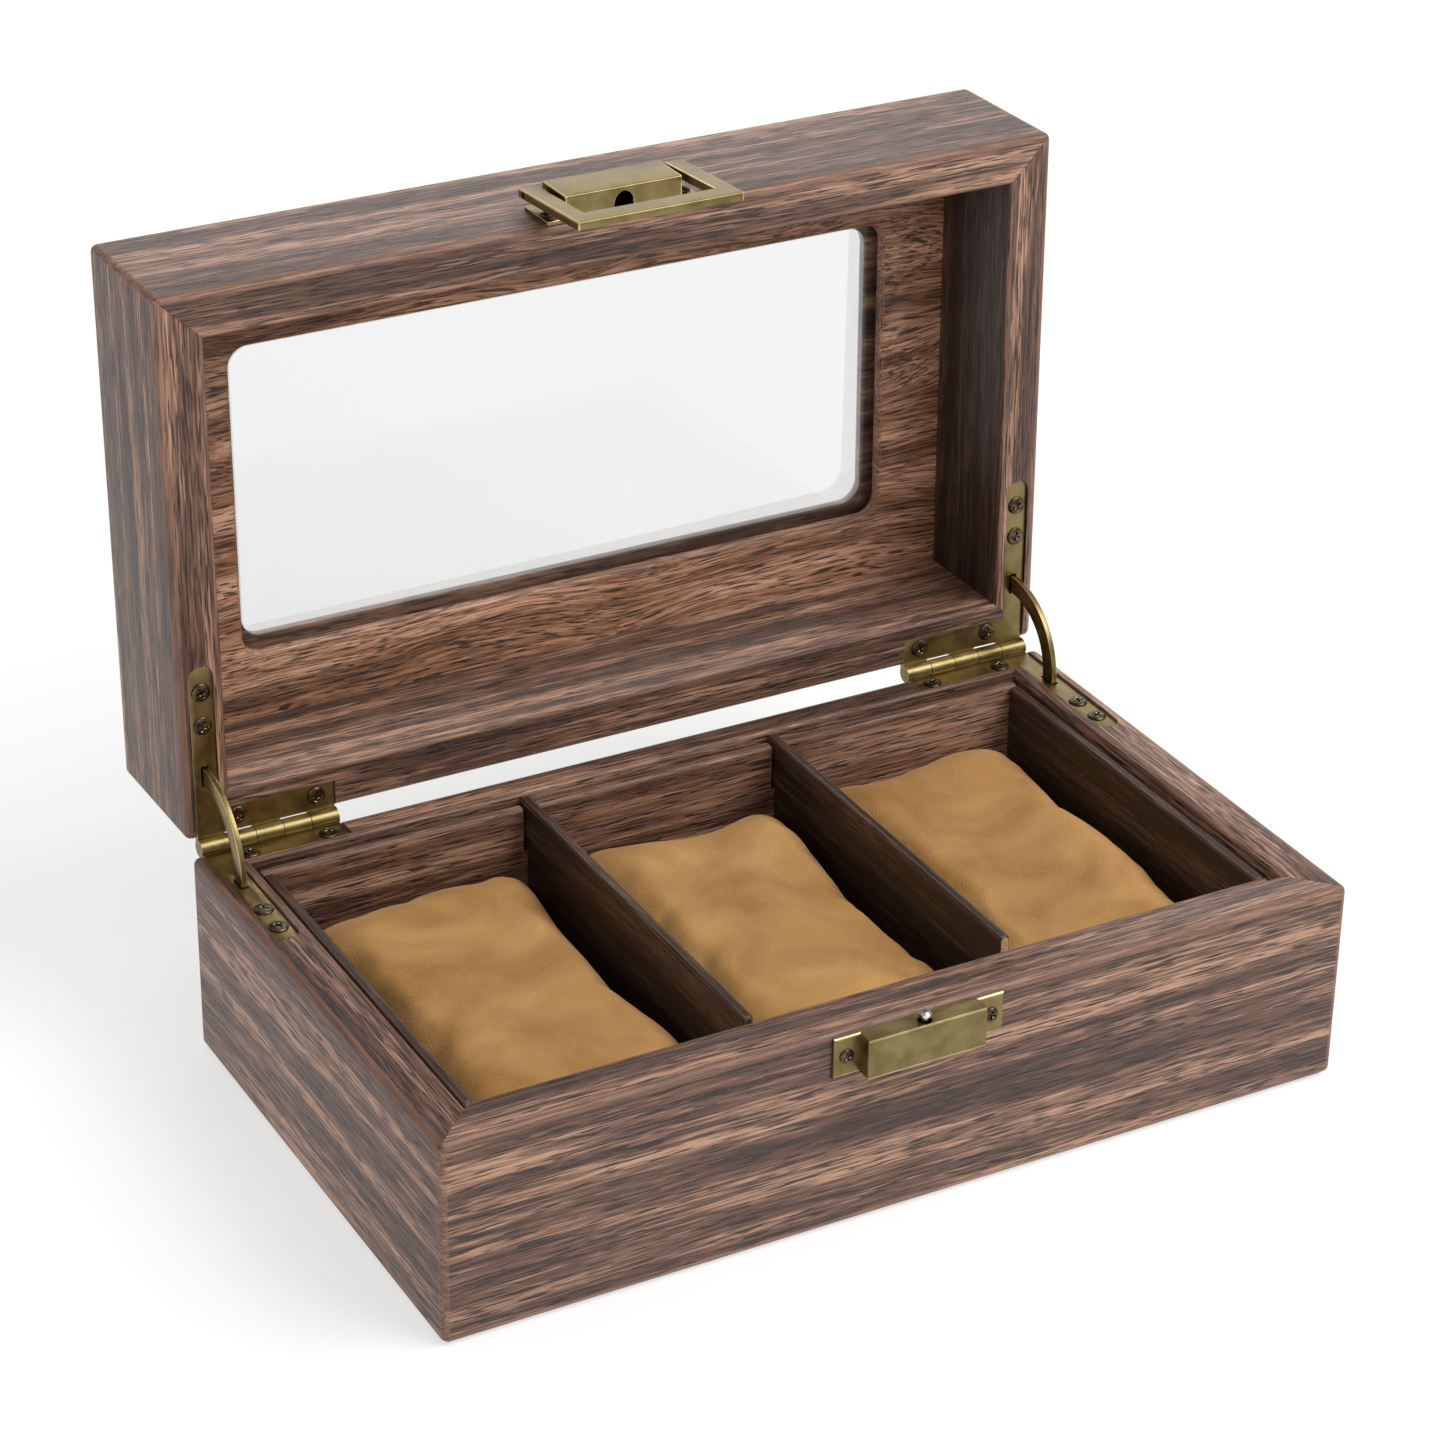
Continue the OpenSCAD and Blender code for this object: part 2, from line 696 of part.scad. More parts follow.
module cushion_cover(bay) {
    color(suede) cushion_place(bay) difference() {
        pillow(cushion_w, cushion_l, cushion_h, cushion_r);
        translate([0, 0, cover_t])
            pillow(cushion_w - 2 * cover_t, cushion_l - 2 * cover_t, cushion_h - 2 * cover_t,
                cushion_r - cover_t);
    }
}

module cushion_foam(bay) {
    skin = cover_t + foam_gap;
    color("white") cushion_place(bay) translate([0, 0, skin])
        pillow(cushion_w - 2 * skin, cushion_l - 2 * skin, cushion_h - 2 * skin, cushion_r - skin);
}

module cushion_left_cover() { cushion_cover(-1); }
module cushion_middle_cover() { cushion_cover(0); }
module cushion_right_cover() { cushion_cover(1); }
module cushion_left_foam() { cushion_foam(-1); }
module cushion_middle_foam() { cushion_foam(0); }
module cushion_right_foam() { cushion_foam(1); }

base_front_board();
base_back_board();
base_left_board();
base_right_board();
base_bottom_panel();
base_felt();
tray_floor();
liner_front();
liner_back();
liner_left();
liner_right();
divider_left();
divider_right();
catch_body();
catch_stud();
catch_screws();
hinge_left_base_leaf();
hinge_right_base_leaf();
hinge_left_pin();
hinge_right_pin();
hinge_left_base_screws();
hinge_right_base_screws();
lid_front_rail();
lid_back_rail();
lid_left_rail();
lid_right_rail();
lid_top_panel();
lid_glass();
lid_inner_panel();
hinge_left_lid_leaf();
hinge_right_lid_leaf();
hinge_left_lid_screws();
hinge_right_lid_screws();
latch_plate();
latch_block();
latch_pin();
latch_screws();
latch_bail();
stay_left();
stay_right();
cushion_left_cover();
cushion_middle_cover();
cushion_right_cover();
cushion_left_foam();
cushion_middle_foam();
cushion_right_foam();
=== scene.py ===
"""Looks of a watch box: wrapped boards, brass stop hinges and latch, a glazed lid and three suede cushions.

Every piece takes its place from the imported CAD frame. Lengths are metres; MM turns millimetres into them.
"""
import sys

import json
import logging
import math
from dataclasses import dataclass, field
from enum import Enum
from typing import Any, Callable, Dict, Iterable, List, Optional, Sequence, Tuple

import bmesh
import bpy
import numpy as np
from mathutils import Matrix, Vector, noise

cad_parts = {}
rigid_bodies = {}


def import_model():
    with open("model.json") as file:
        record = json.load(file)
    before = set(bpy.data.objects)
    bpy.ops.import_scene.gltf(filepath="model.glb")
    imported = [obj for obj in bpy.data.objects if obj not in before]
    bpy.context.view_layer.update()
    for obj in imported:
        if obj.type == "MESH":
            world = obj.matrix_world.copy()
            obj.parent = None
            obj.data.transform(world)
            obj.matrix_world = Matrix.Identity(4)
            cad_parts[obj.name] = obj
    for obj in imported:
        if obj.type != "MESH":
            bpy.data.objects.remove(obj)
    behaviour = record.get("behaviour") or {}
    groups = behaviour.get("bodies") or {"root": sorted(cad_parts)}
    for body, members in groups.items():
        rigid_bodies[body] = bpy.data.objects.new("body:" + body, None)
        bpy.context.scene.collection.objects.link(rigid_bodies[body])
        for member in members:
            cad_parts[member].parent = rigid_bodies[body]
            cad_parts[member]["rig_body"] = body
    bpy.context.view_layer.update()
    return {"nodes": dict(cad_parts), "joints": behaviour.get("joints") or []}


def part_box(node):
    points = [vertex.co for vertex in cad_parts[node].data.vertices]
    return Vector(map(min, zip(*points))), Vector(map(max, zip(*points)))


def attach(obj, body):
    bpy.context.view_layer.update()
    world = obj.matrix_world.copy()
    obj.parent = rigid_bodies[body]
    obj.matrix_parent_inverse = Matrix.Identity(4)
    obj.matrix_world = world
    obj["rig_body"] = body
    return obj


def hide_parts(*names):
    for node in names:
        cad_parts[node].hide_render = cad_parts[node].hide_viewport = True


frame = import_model()

LOG = logging.getLogger("watch_box")
MM = 0.001
NEAR = 0.02 * MM
HAIR = 0.005 * MM
NEW_FACING = math.cos(math.radians(6))
SHARP = math.radians(28)
FLAT = 0.95

EdgeTest = Callable[[Vector, Vector], bool]
Colour = Tuple[float, float, float, float]
Box = Tuple[Vector, Vector]
Settings = Dict[Any, Any]


# ---------------------------------------------------------------- small helpers


class Run(Enum):
    """The way that the grain of a board runs while the lid is shut."""

    ALONG_X = (0, 1, 2)
    ALONG_Y = (1, 0, 2)


def linear(colour: str) -> Colour:
    """Turns an sRGB hex colour into a linear one.

    Args:
        colour: six hex digits after a hash sign.

    Returns:
        Linear red, green, blue and an alpha of 1.
    """
    parts = [int(colour[i : i + 2], 16) / 255 for i in (1, 3, 5)]
    bent = [c / 12.92 if c <= 0.04045 else ((c + 0.055) / 1.055) ** 2.4 for c in parts]
    return (bent[0], bent[1], bent[2], 1.0)


def deselect() -> None:
    """Leaves edit mode and deselects every object."""
    if bpy.context.object and bpy.context.object.mode != "OBJECT":
        bpy.ops.object.mode_set(mode="OBJECT")
    bpy.ops.object.select_all(action="DESELECT")


def activate(piece: bpy.types.Object) -> None:
    """Makes one piece the only selected and active object."""
    deselect()
    piece.select_set(True)
    bpy.context.view_layer.objects.active = piece


def settle(piece: bpy.types.Object, place: Optional[Matrix] = None) -> bpy.types.Object:
    """Puts a piece's place into its mesh and leaves its object at the origin.

    Args:
        piece: the piece to settle.
        place: a move to apply first, or None.

    Returns:
        The same piece.
    """
    activate(piece)
    if place is not None:
        piece.matrix_world = place @ piece.matrix_world
    bpy.ops.object.transform_apply(location=True, rotation=True, scale=True)
    return piece


def apply_modifier(piece: bpy.types.Object, kind: str, **settings: Any) -> None:
    """Adds a modifier with its settings and applies it.

    Args:
        piece: the piece to change.
        kind: Blender's name for the modifier.
        settings: the modifier's properties.
    """
    activate(piece)
    modifier = piece.modifiers.new("work", kind)
    for key, value in settings.items():
        setattr(modifier, key, value)
    bpy.ops.object.modifier_apply(modifier=modifier.name)


def carve(piece: bpy.types.Object, tool: bpy.types.Object, operation: str = "DIFFERENCE") -> None:
    """Cuts a piece with a tool, or keeps what is inside the tool, and removes the tool.

    Args:
        piece: the piece to cut.
        tool: a closed mesh.
        operation: DIFFERENCE or INTERSECT.
    """
    apply_modifier(piece, "BOOLEAN", operation=operation, solver="EXACT", object=tool)
    bpy.data.objects.remove(tool)


def join(pieces: Sequence[bpy.types.Object], name: str) -> bpy.types.Object:
    """Joins pieces of one kind, such as the screws of one leaf, into one named piece.

    Args:
        pieces: settled pieces.
        name: the name of the joined piece.

    Returns:
        The joined piece.
    """
    deselect()
    for piece in pieces:
        piece.select_set(True)
    bpy.context.view_layer.objects.active = pieces[0]
    if len(pieces) > 1:
        bpy.ops.object.join()
    pieces[0].name = name
    return pieces[0]


def node_copy(node: str, name: str) -> bpy.types.Object:
    """Copies a CAD node's mesh, merges its loose triangles and joins what lies in one plane.

    Args:
        node: the CAD node.
        name: the new piece's name.

    Returns:
        The copy, at the node's place.
    """
    piece = bpy.data.objects.new(name, frame["nodes"][node].data.copy())
    bpy.context.scene.collection.objects.link(piece)
    piece.data.materials.clear()
    activate(piece)
    if piece.data.has_custom_normals:
        bpy.ops.mesh.customdata_custom_splitnormals_clear()
    bpy.ops.object.mode_set(mode="EDIT")
    bpy.ops.mesh.select_all(action="SELECT")
    bpy.ops.mesh.remove_doubles(threshold=MM / 500)
    bpy.ops.mesh.dissolve_limited(angle_limit=math.radians(0.4))
    bpy.ops.object.mode_set(mode="OBJECT")
    return piece


def block(low: Sequence[float], high: Sequence[float], name: str = "block") -> bpy.types.Object:
    """Adds a cube primitive between two corners, with its place in its mesh.

    Args:
        low: lowest corner.
        high: highest corner.
        name: the object's name.

    Returns:
        The new object.
    """
    deselect()
    a, b = Vector(low), Vector(high)
    bpy.ops.mesh.primitive_cube_add(size=1, location=(a + b) / 2)
    piece = bpy.context.object
    piece.name = name
    piece.scale = b - a
    return settle(piece)


def bevel(
    piece: bpy.types.Object,
    test: EdgeTest,
    width: float,
    segments: int = 2,
    worn: float = 0.0,
    least: float = 2.0,
) -> None:
    """Rounds the sharp outward edges that pass a test.

    Args:
        piece: the piece to change.
        test: takes an edge's midpoint and its direction.
        width: the bevel's width.
        segments: the bevel's segments.
        worn: how rubbed the rounding is, from 0 to 1, kept in the face attribute "worn".
        least: the shortest edge that is rounded, as a multiple of the width.
    """
    activate(piece)
    bpy.ops.object.mode_set(mode="EDIT")
    bpy.ops.mesh.select_mode(type="EDGE")
    bpy.ops.mesh.select_all(action="DESELECT")
    mesh = bmesh.from_edit_mesh(piece.data)
    if not mesh.faces.layers.float.get("worn"):
        mesh.faces.layers.float.new("worn")
    facings = np.unique(np.array([f.normal for f in mesh.faces]).round(3), axis=0)
    picked = 0
    for edge in mesh.edges:
        if len(edge.link_faces) != 2 or edge.calc_face_angle_signed(0) < SHARP:
            continue
        a, b = edge.verts[0].co, edge.verts[1].co
        if (b - a).length > least * width and test((a + b) / 2, (b - a).normalized()):
            edge.select_set(True)
            picked += 1
    bmesh.update_edit_mesh(piece.data)
    if picked:
        bpy.ops.mesh.bevel(offset=width, segments=segments, affect="EDGES", clamp_overlap=False)
        mesh = bmesh.from_edit_mesh(piece.data)
        layer = mesh.faces.layers.float.get("worn")
        for face in mesh.faces:
            if (facings @ np.array(face.normal)).max() < NEW_FACING:
                face[layer] = worn
        bmesh.update_edit_mesh(piece.data)
    bpy.ops.object.mode_set(mode="OBJECT")


def every_edge(_middle: Vector, _way: Vector) -> bool:
    """An edge test that passes every edge."""
    return True


def smooth(piece: bpy.types.Object, degrees: float = 35) -> None:
    """Shades a piece smooth, apart from edges sharper than an angle."""
    activate(piece)
    bpy.ops.object.shade_smooth_by_angle(angle=math.radians(degrees))


def span(piece: bpy.types.Object) -> Box:
    """Lowest and highest corner of a settled piece's mesh."""
    points = np.array([v.co for v in piece.data.vertices])
    return Vector(points.min(0)), Vector(points.max(0))


def grain_coordinates(piece: bpy.types.Object, run: Run, start: float) -> None:
    """Keeps each point's place on its board, with the grain along x, in the attribute "grain".

    Args:
        piece: a settled piece, with the lid shut.
        run: the way that the grain runs.
        start: a shift that gives each board its own figure.
    """
    points = np.array([v.co for v in piece.data.vertices])[:, list(run.value)]
    points += np.array([start * 1.7, start * 0.61, start * 0.23])
    attribute = piece.data.attributes.new("grain", "FLOAT_VECTOR", "POINT")
    attribute.data.foreach_set("vector", points.astype(np.float32).ravel())


def mark_roundings(piece: bpy.types.Object) -> None:
    """Marks the faces of a board's rounded arrises in the face attribute "worn"."""
    layer = piece.data.attributes.get("worn") or piece.data.attributes.new("worn", "FLOAT", "FACE")
    values = []
    for face in piece.data.polygons:
        square = max(abs(c) for c in face.normal)
        values.append(1.0 if 0.75 < square < 0.999 else 0.0)
    layer.data.foreach_set("value", values)


def place(piece: bpy.types.Object, finish: "Finish", *nodes: str) -> bpy.types.Object:
    """Gives a piece its finish, lets it stand for its nodes and makes it ride on their body.

    Args:
        piece: a settled piece.
        finish: its finish.
        nodes: the CAD nodes that it stands for.

    Returns:
        The same piece.
    """
    if not piece.data.materials:
        piece.data.materials.append(finish.material())
    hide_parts(*nodes)
    body = frame["nodes"][nodes[0]]["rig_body"]
    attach(piece, body)
    LOG.info("%s rides on %s, %d faces", piece.name, body, len(piece.data.polygons))
    return piece


# ---------------------------------------------------------------- finishes

ATTRIBUTE = "ShaderNodeAttribute"
COORDINATES = "ShaderNodeTexCoord"
MAPPING = "ShaderNodeMapping"
NOISE = "ShaderNodeTexNoise"
MATH = "ShaderNodeMath"
VECTOR_MATH = "ShaderNodeVectorMath"
RANGE = "ShaderNodeMapRange"
RAMP = "ShaderNodeValToRGB"
MIX = "ShaderNodeMix"
BUMP = "ShaderNodeBump"
SURFACE = "ShaderNodeBsdfPrincipled"
BLEND = {"data_type": "RGBA", "blend_type": "MIX"}


def add_node(
    tree: bpy.types.NodeTree,
    kind: str,
    settings: Optional[Settings] = None,
    links: Optional[Settings] = None,
) -> bpy.types.Node:
    """Adds a shader node with its settings and links.

    Args:
        tree: the material's node tree.
        kind: Blender's name for the node.
        settings: inputs by name or number, properties by name, and "ramp" for the stops of a colour ramp.
        links: inputs by name or number, each with the socket that feeds it.

    Returns:
        The new node.
    """
    node = tree.nodes.new(kind)
    for key, value in (settings or {}).items():
        if key == "ramp":
            stops = node.color_ramp.elements
            while len(stops) < len(value):
                stops.new(0.5)
            for stop, (position, colour) in zip(stops, value):
                stop.position, stop.color = position, colour
        elif isinstance(key, int) or key in node.inputs:
            node.inputs[key].default_value = value
        else:
            setattr(node, key, value)
    for key, socket in (links or {}).items():
        tree.links.new(socket, node.inputs[key])
    return node



def grey(level: float) -> Colour:
    """An even grey of a level from 0 to 1."""
    return (level, level, level, 1.0)


@dataclass(frozen=True)
class Finish:
    """A surface finish. Its material is made once and shared."""

    name: str
    slot: str

    def material(self) -> bpy.types.Material:
        """The finish's material, made when it is first asked for."""
        found = bpy.data.materials.get(self.name)
        if found:
            return found
        made = bpy.data.materials.new(self.name)
        made.use_nodes = True
        made.node_tree.nodes.clear()
        out = add_node(made.node_tree, "ShaderNodeOutputMaterial")
        shader = self.shade(made.node_tree)
        made.node_tree.links.new(shader.outputs[0], out.inputs["Surface"])
        return made

    def shade(self, tree: bpy.types.NodeTree) -> bpy.types.Node:
        """Builds the shader. Each kind of finish has its own."""
        raise NotImplementedError


@dataclass(frozen=True)
class WalnutWrap(Finish):
    """Walnut-print PU leatherette over board: a printed, embossed film.

    It gives the eye long brown bands, fine dark pore dashes that are also pressed into the film, and a soft
    plastic sheen that greys the faces seen at a low angle. PU film has an IOR of about 1.5.
    """

    dark: str = "#3d2920"
    middle: str = "#6b4c3d"
    light: str = "#b68c72"
    pore: str = "#23160f"
    edge: str = "#8a634d"
    band_mm: float = 4.2
    wander_mm: float = 0.6
    streak_mm: float = 0.55
    streak_long_mm: float = 15.0
    pore_mm: float = 0.38
    pore_long_mm: float = 7.5
    roughness: float = 0.42
    emboss_mm: float = 0.08
    band_share: float = 0.55
    ink: float = 0.88
    sunk: float = 0.9
    rippled: float = 0.5

    def shade(self, tree: bpy.types.NodeTree) -> bpy.types.Node:
        """Bands, streaks and pore dashes along the grain, with the dashes and a fine ripple as relief."""
        grain = add_node(tree, ATTRIBUTE, {"attribute_name": "grain"}).outputs["Vector"]
        worn = add_node(tree, ATTRIBUTE, {"attribute_name": "worn"}).outputs["Fac"]
        # Each layer: its length along the grain and its width in millimetres, its detail and its roughness.
        layers = {
            "wave": (60.0, 24.0, 1.0, 0.5),
            "bands": (120.0, self.band_mm, 2.0, 0.5),
            "streaks": (self.streak_long_mm, self.streak_mm, 2.0, 0.6),
            "pores": (self.pore_long_mm, self.pore_mm, 1.5, 0.5),
            "ripple": (1.3, 0.5, 2.0, 0.5),
        }
        places, noises = {}, {}
        for layer, (long_mm, wide_mm, detail, rough) in layers.items():
            scale = (1 / (long_mm * MM), 1 / (wide_mm * MM), 1 / (wide_mm * MM))
            places[layer] = add_node(tree, MAPPING, {"Scale": scale})
            settings = {"Scale": 1.0, "Detail": detail, "Roughness": rough}
            noises[layer] = add_node(tree, NOISE, settings, {"Vector": places[layer].outputs[0]})
        tree.links.new(grain, places["wave"].inputs["Vector"])
        wave = noises["wave"].outputs["Color"]
        centred = add_node(tree, VECTOR_MATH, {"operation": "SUBTRACT", 1: (0.5, 0.5, 0.5)}, {0: wave})
        swing = 2 * self.wander_mm * MM
        warped = add_node(
            tree,
            VECTOR_MATH,
            {"operation": "MULTIPLY_ADD", 1: (0.0, swing, swing)},
            {0: centred.outputs[0], 2: grain},
        ).outputs[0]
        printed = ("bands", "streaks", "pores", "ripple")
        for layer in printed:
            tree.links.new(warped, places[layer].inputs["Vector"])
        bands, streaks, pores, ripple = (noises[layer].outputs["Fac"] for layer in printed)

        part = add_node(tree, MATH, {"operation": "MULTIPLY", 1: 1 - self.band_share}, {0: streaks})
        blend = add_node(
            tree, MATH, {"operation": "MULTIPLY_ADD", 1: self.band_share}, {0: bands, 2: part.outputs[0]}
        )
        stops = [(0.38, linear(self.dark)), (0.5, linear(self.middle)), (0.62, linear(self.light))]
        tone = add_node(tree, RAMP, {"ramp": stops}, {0: blend.outputs[0]})
        dash = add_node(tree, RAMP, {"ramp": [(0.39, grey(1)), (0.46, grey(0))]}, {0: pores})
        inked = add_node(tree, MATH, {"operation": "MULTIPLY", 1: self.ink}, {0: dash.outputs[0]})
        pored = add_node(
            tree, MIX, {**BLEND, 7: linear(self.pore)}, {0: inked.outputs[0], 6: tone.outputs[0]}
        )
        rub = add_node(tree, MATH, {"operation": "MULTIPLY"}, {0: worn, 1: streaks})
        rubbed = add_node(
            tree, MIX, {**BLEND, 7: linear(self.edge)}, {0: rub.outputs[0], 6: pored.outputs[2]}
        )

        pressed = add_node(tree, MATH, {"operation": "MULTIPLY", 1: -self.sunk}, {0: dash.outputs[0]})
        height = add_node(
            tree, MATH, {"operation": "MULTIPLY_ADD", 1: self.rippled}, {0: ripple, 2: pressed.outputs[0]}
        )
        depth = {"Strength": 1.0, "Distance": self.emboss_mm * MM}
        relief = add_node(tree, BUMP, depth, {"Height": height.outputs[0]})
        limits = {"To Min": self.roughness - 0.06, "To Max": self.roughness + 0.12}
        gloss = add_node(tree, RANGE, limits, {"Value": streaks})
        return add_node(
            tree,
            SURFACE,
            {"IOR": 1.5},
            {"Base Color": rubbed.outputs[2], "Roughness": gloss.outputs[0], "Normal": relief.outputs[0]},
        )


@dataclass(frozen=True)
class AntiqueBrass(Finish):
    """Antique-brass plating on steel: brushed dark, then rubbed bright on its edges.

    It gives the eye an olive-brown metal with cloudy patina about 5 mm across and yellow edges. Its brush
    lines are drawn 0.35 mm apart, coarser than real, so that they show. Brushed plate has a roughness of
    about 0.3 to 0.4.
    """

    patina: str = "#73643f"
    middle: str = "#8c7c54"
    bright: str = "#dcc692"
    cloud_mm: float = 5.0
    brush_mm: float = 0.35
    brush_long_mm: float = 9.0
    roughness: float = 0.34

    def shade(self, tree: bpy.types.NodeTree) -> bpy.types.Node:
        """Clouds of patina under brush lines, with bright worn edges."""
        where = add_node(tree, COORDINATES).outputs["Object"]
        worn = add_node(tree, ATTRIBUTE, {"attribute_name": "worn"}).outputs["Fac"]
        cloud_size = {"Scale": 1 / (self.cloud_mm * MM), "Detail": 4.0}
        cloud = add_node(tree, NOISE, cloud_size, {"Vector": where}).outputs["Fac"]
        scale = (1 / (self.brush_long_mm * MM), 1 / (self.brush_mm * MM), 1 / (self.brush_mm * MM))
        lines = add_node(tree, MAPPING, {"Scale": scale}, {"Vector": where})
        brush = add_node(tree, NOISE, {"Scale": 1.0, "Detail": 2.0}, {"Vector": lines.outputs[0]})
        stops = [(0.35, linear(self.patina)), (0.62, linear(self.middle))]
        tone = add_node(tree, RAMP, {"ramp": stops}, {0: cloud})
        uneven = {"From Min": 0.3, "From Max": 0.6, "To Min": 0.55, "To Max": 1.0}
        edge = add_node(tree, RANGE, uneven, {"Value": cloud})
        rub = add_node(tree, MATH, {"operation": "MULTIPLY"}, {0: worn, 1: edge.outputs[0]})
        colour = add_node(
            tree, MIX, {**BLEND, 7: linear(self.bright)}, {0: rub.outputs[0], 6: tone.outputs[0]}
        )
        limits = {"To Min": self.roughness - 0.1, "To Max": self.roughness + 0.14}
        gloss = add_node(tree, RANGE, limits, {"Value": cloud})
        depth = {"Strength": 0.35, "Distance": 0.02 * MM}
        relief = add_node(tree, BUMP, depth, {"Height": brush.outputs["Fac"]})
        return add_node(
            tree,
            SURFACE,
            {"Metallic": 1.0},
            {"Base Color": colour.outputs[2], "Roughness": gloss.outputs[0], "Normal": relief.outputs[0]},
        )


@dataclass(frozen=True)
class PlainMetal(Finish):
    """Plated steel of a screw or stud: turned smooth, with stains about 1.2 mm across and rubbed edges.

    It gives the eye a dark, warm metal or a bright one. Turned plate has a roughness of about 0.2 to 0.4.
    """

    dark: str = "#332c22"
    light: str = "#6f634c"
    bright: str = "#d2c7aa"
    stain_mm: float = 1.2
    roughness: float = 0.3

    def shade(self, tree: bpy.types.NodeTree) -> bpy.types.Node:
        """Stains over the plating, with bright worn edges."""
        where = add_node(tree, COORDINATES).outputs["Object"]
        worn = add_node(tree, ATTRIBUTE, {"attribute_name": "worn"}).outputs["Fac"]
        stain_size = {"Scale": 1 / (self.stain_mm * MM), "Detail": 3.0}
        stain = add_node(tree, NOISE, stain_size, {"Vector": where}).outputs["Fac"]
        stops = [(0.35, linear(self.dark)), (0.65, linear(self.light))]
        tone = add_node(tree, RAMP, {"ramp": stops}, {0: stain})
        colour = add_node(tree, MIX, {**BLEND, 7: linear(self.bright)}, {0: worn, 6: tone.outputs[0]})
        limits = {"To Min": self.roughness - 0.08, "To Max": self.roughness + 0.1}
        gloss = add_node(tree, RANGE, limits, {"Value": stain})
        inputs = {"Base Color": colour.outputs[2], "Roughness": gloss.outputs[0]}
        return add_node(tree, SURFACE, {"Metallic": 1.0}, inputs)


@dataclass(frozen=True)
class Suede(Finish):
    """Microsuede cover: a short brushed nap.

    It gives the eye a matt tan with soft lighter and darker strokes about 22 mm long, a fine grit of fibres
    and a pale sheen where it turns away. The fibres are drawn at 0.42 mm, coarser than real, so that they
    show. Suede has a roughness above 0.9 and an IOR of about 1.45.
    """

    low: str = "#966932"
    high: str = "#c19258"
    fleck: str = "#c79a66"
    stroke_mm: float = 22.0
    nap_mm: float = 0.42
    nap_deep_mm: float = 0.2

    def shade(self, tree: bpy.types.NodeTree) -> bpy.types.Node:
        """Brushed strokes, a fine nap and sheen."""
        where = add_node(tree, COORDINATES).outputs["Object"]
        stroke_size = {"Scale": 1 / (self.stroke_mm * MM), "Detail": 3.0, "Distortion": 0.6}
        stroke = add_node(tree, NOISE, stroke_size, {"Vector": where})
        nap_size = {"Scale": 1 / (self.nap_mm * MM), "Detail": 2.0}
        nap = add_node(tree, NOISE, nap_size, {"Vector": where}).outputs["Fac"]
        stops = [(0.3, linear(self.low)), (0.72, linear(self.high))]
        tone = add_node(tree, RAMP, {"ramp": stops}, {0: stroke.outputs["Fac"]})
        flecks = {"From Min": 0.5, "From Max": 0.8, "To Max": 0.35}
        speck = add_node(tree, RANGE, flecks, {"Value": nap})
        colour = add_node(
            tree, MIX, {**BLEND, 7: linear(self.fleck)}, {0: speck.outputs[0], 6: tone.outputs[0]}
        )
        depth = {"Strength": 0.9, "Distance": self.nap_deep_mm * MM}
        relief = add_node(tree, BUMP, depth, {"Height": nap})
        return add_node(
            tree,
            SURFACE,
            {
                "Roughness": 0.92,
                "IOR": 1.45,
                "Sheen Weight": 0.35,
                "Sheen Roughness": 0.45,
                "Sheen Tint": linear("#e8c79a"),
            },
            {"Base Color": colour.outputs[2], "Normal": relief.outputs[0]},
        )


@dataclass(frozen=True)
class WindowGlass(Finish):
    """Float glass: clear and polished, faintly grey. Its IOR is 1.52 and its roughness is almost 0.

    It is partly see-through besides refracting, so that light reaches what lies under a shut lid. Its polish
    changes slowly, over about 60 mm.
    """

    tint: str = "#bfc3c3"
    body: float = 0.3
    wave_mm: float = 60.0

    def shade(self, tree: bpy.types.NodeTree) -> bpy.types.Node:
        """Clear glass with a very slight unevenness in its polish."""
        where = add_node(tree, COORDINATES).outputs["Object"]
        wave_size = {"Scale": 1 / (self.wave_mm * MM), "Detail": 1.0}
        wave = add_node(tree, NOISE, wave_size, {"Vector": where})
        polish = add_node(tree, RANGE, {"To Min": 0.0, "To Max": 0.02}, {"Value": wave.outputs["Fac"]})
        return add_node(
            tree,
            SURFACE,
            {
                "Base Color": linear(self.tint),
                "IOR": 1.52,
                "Transmission Weight": 1.0,
                "Specular IOR Level": 0.2,
                "Alpha": self.body,
            },
            {"Roughness": polish.outputs[0]},
        )


@dataclass(frozen=True)
class Fibre(Finish):
    """A matt fibrous surface: raw board, felt or a studio floor, told apart by colours and grit.

    It gives the eye two close tones with no shine. Such surfaces have a roughness above 0.9.
    """

    low: str = "#1d1613"
    high: str = "#2c221d"
    grit_mm: float = 0.6
    depth_mm: float = 0.1
    glow: float = 0.0

    def shade(self, tree: bpy.types.NodeTree) -> bpy.types.Node:
        """Two close tones of grit with a little relief, and the glow of a floor that is lit from below."""
        where = add_node(tree, COORDINATES).outputs["Object"]
        grit_size = {"Scale": 1 / (self.grit_mm * MM), "Detail": 3.0}
        grit = add_node(tree, NOISE, grit_size, {"Vector": where}).outputs["Fac"]
        stops = [(0.35, linear(self.low)), (0.65, linear(self.high))]
        tone = add_node(tree, RAMP, {"ramp": stops}, {0: grit})
        depth = {"Strength": 0.5, "Distance": self.depth_mm * MM}
        relief = add_node(tree, BUMP, depth, {"Height": grit})
        return add_node(
            tree,
            SURFACE,
            {"Roughness": 0.95, "Emission Color": linear("#ffffff"), "Emission Strength": self.glow},
            {"Base Color": tone.outputs[0], "Normal": relief.outputs[0]},
        )


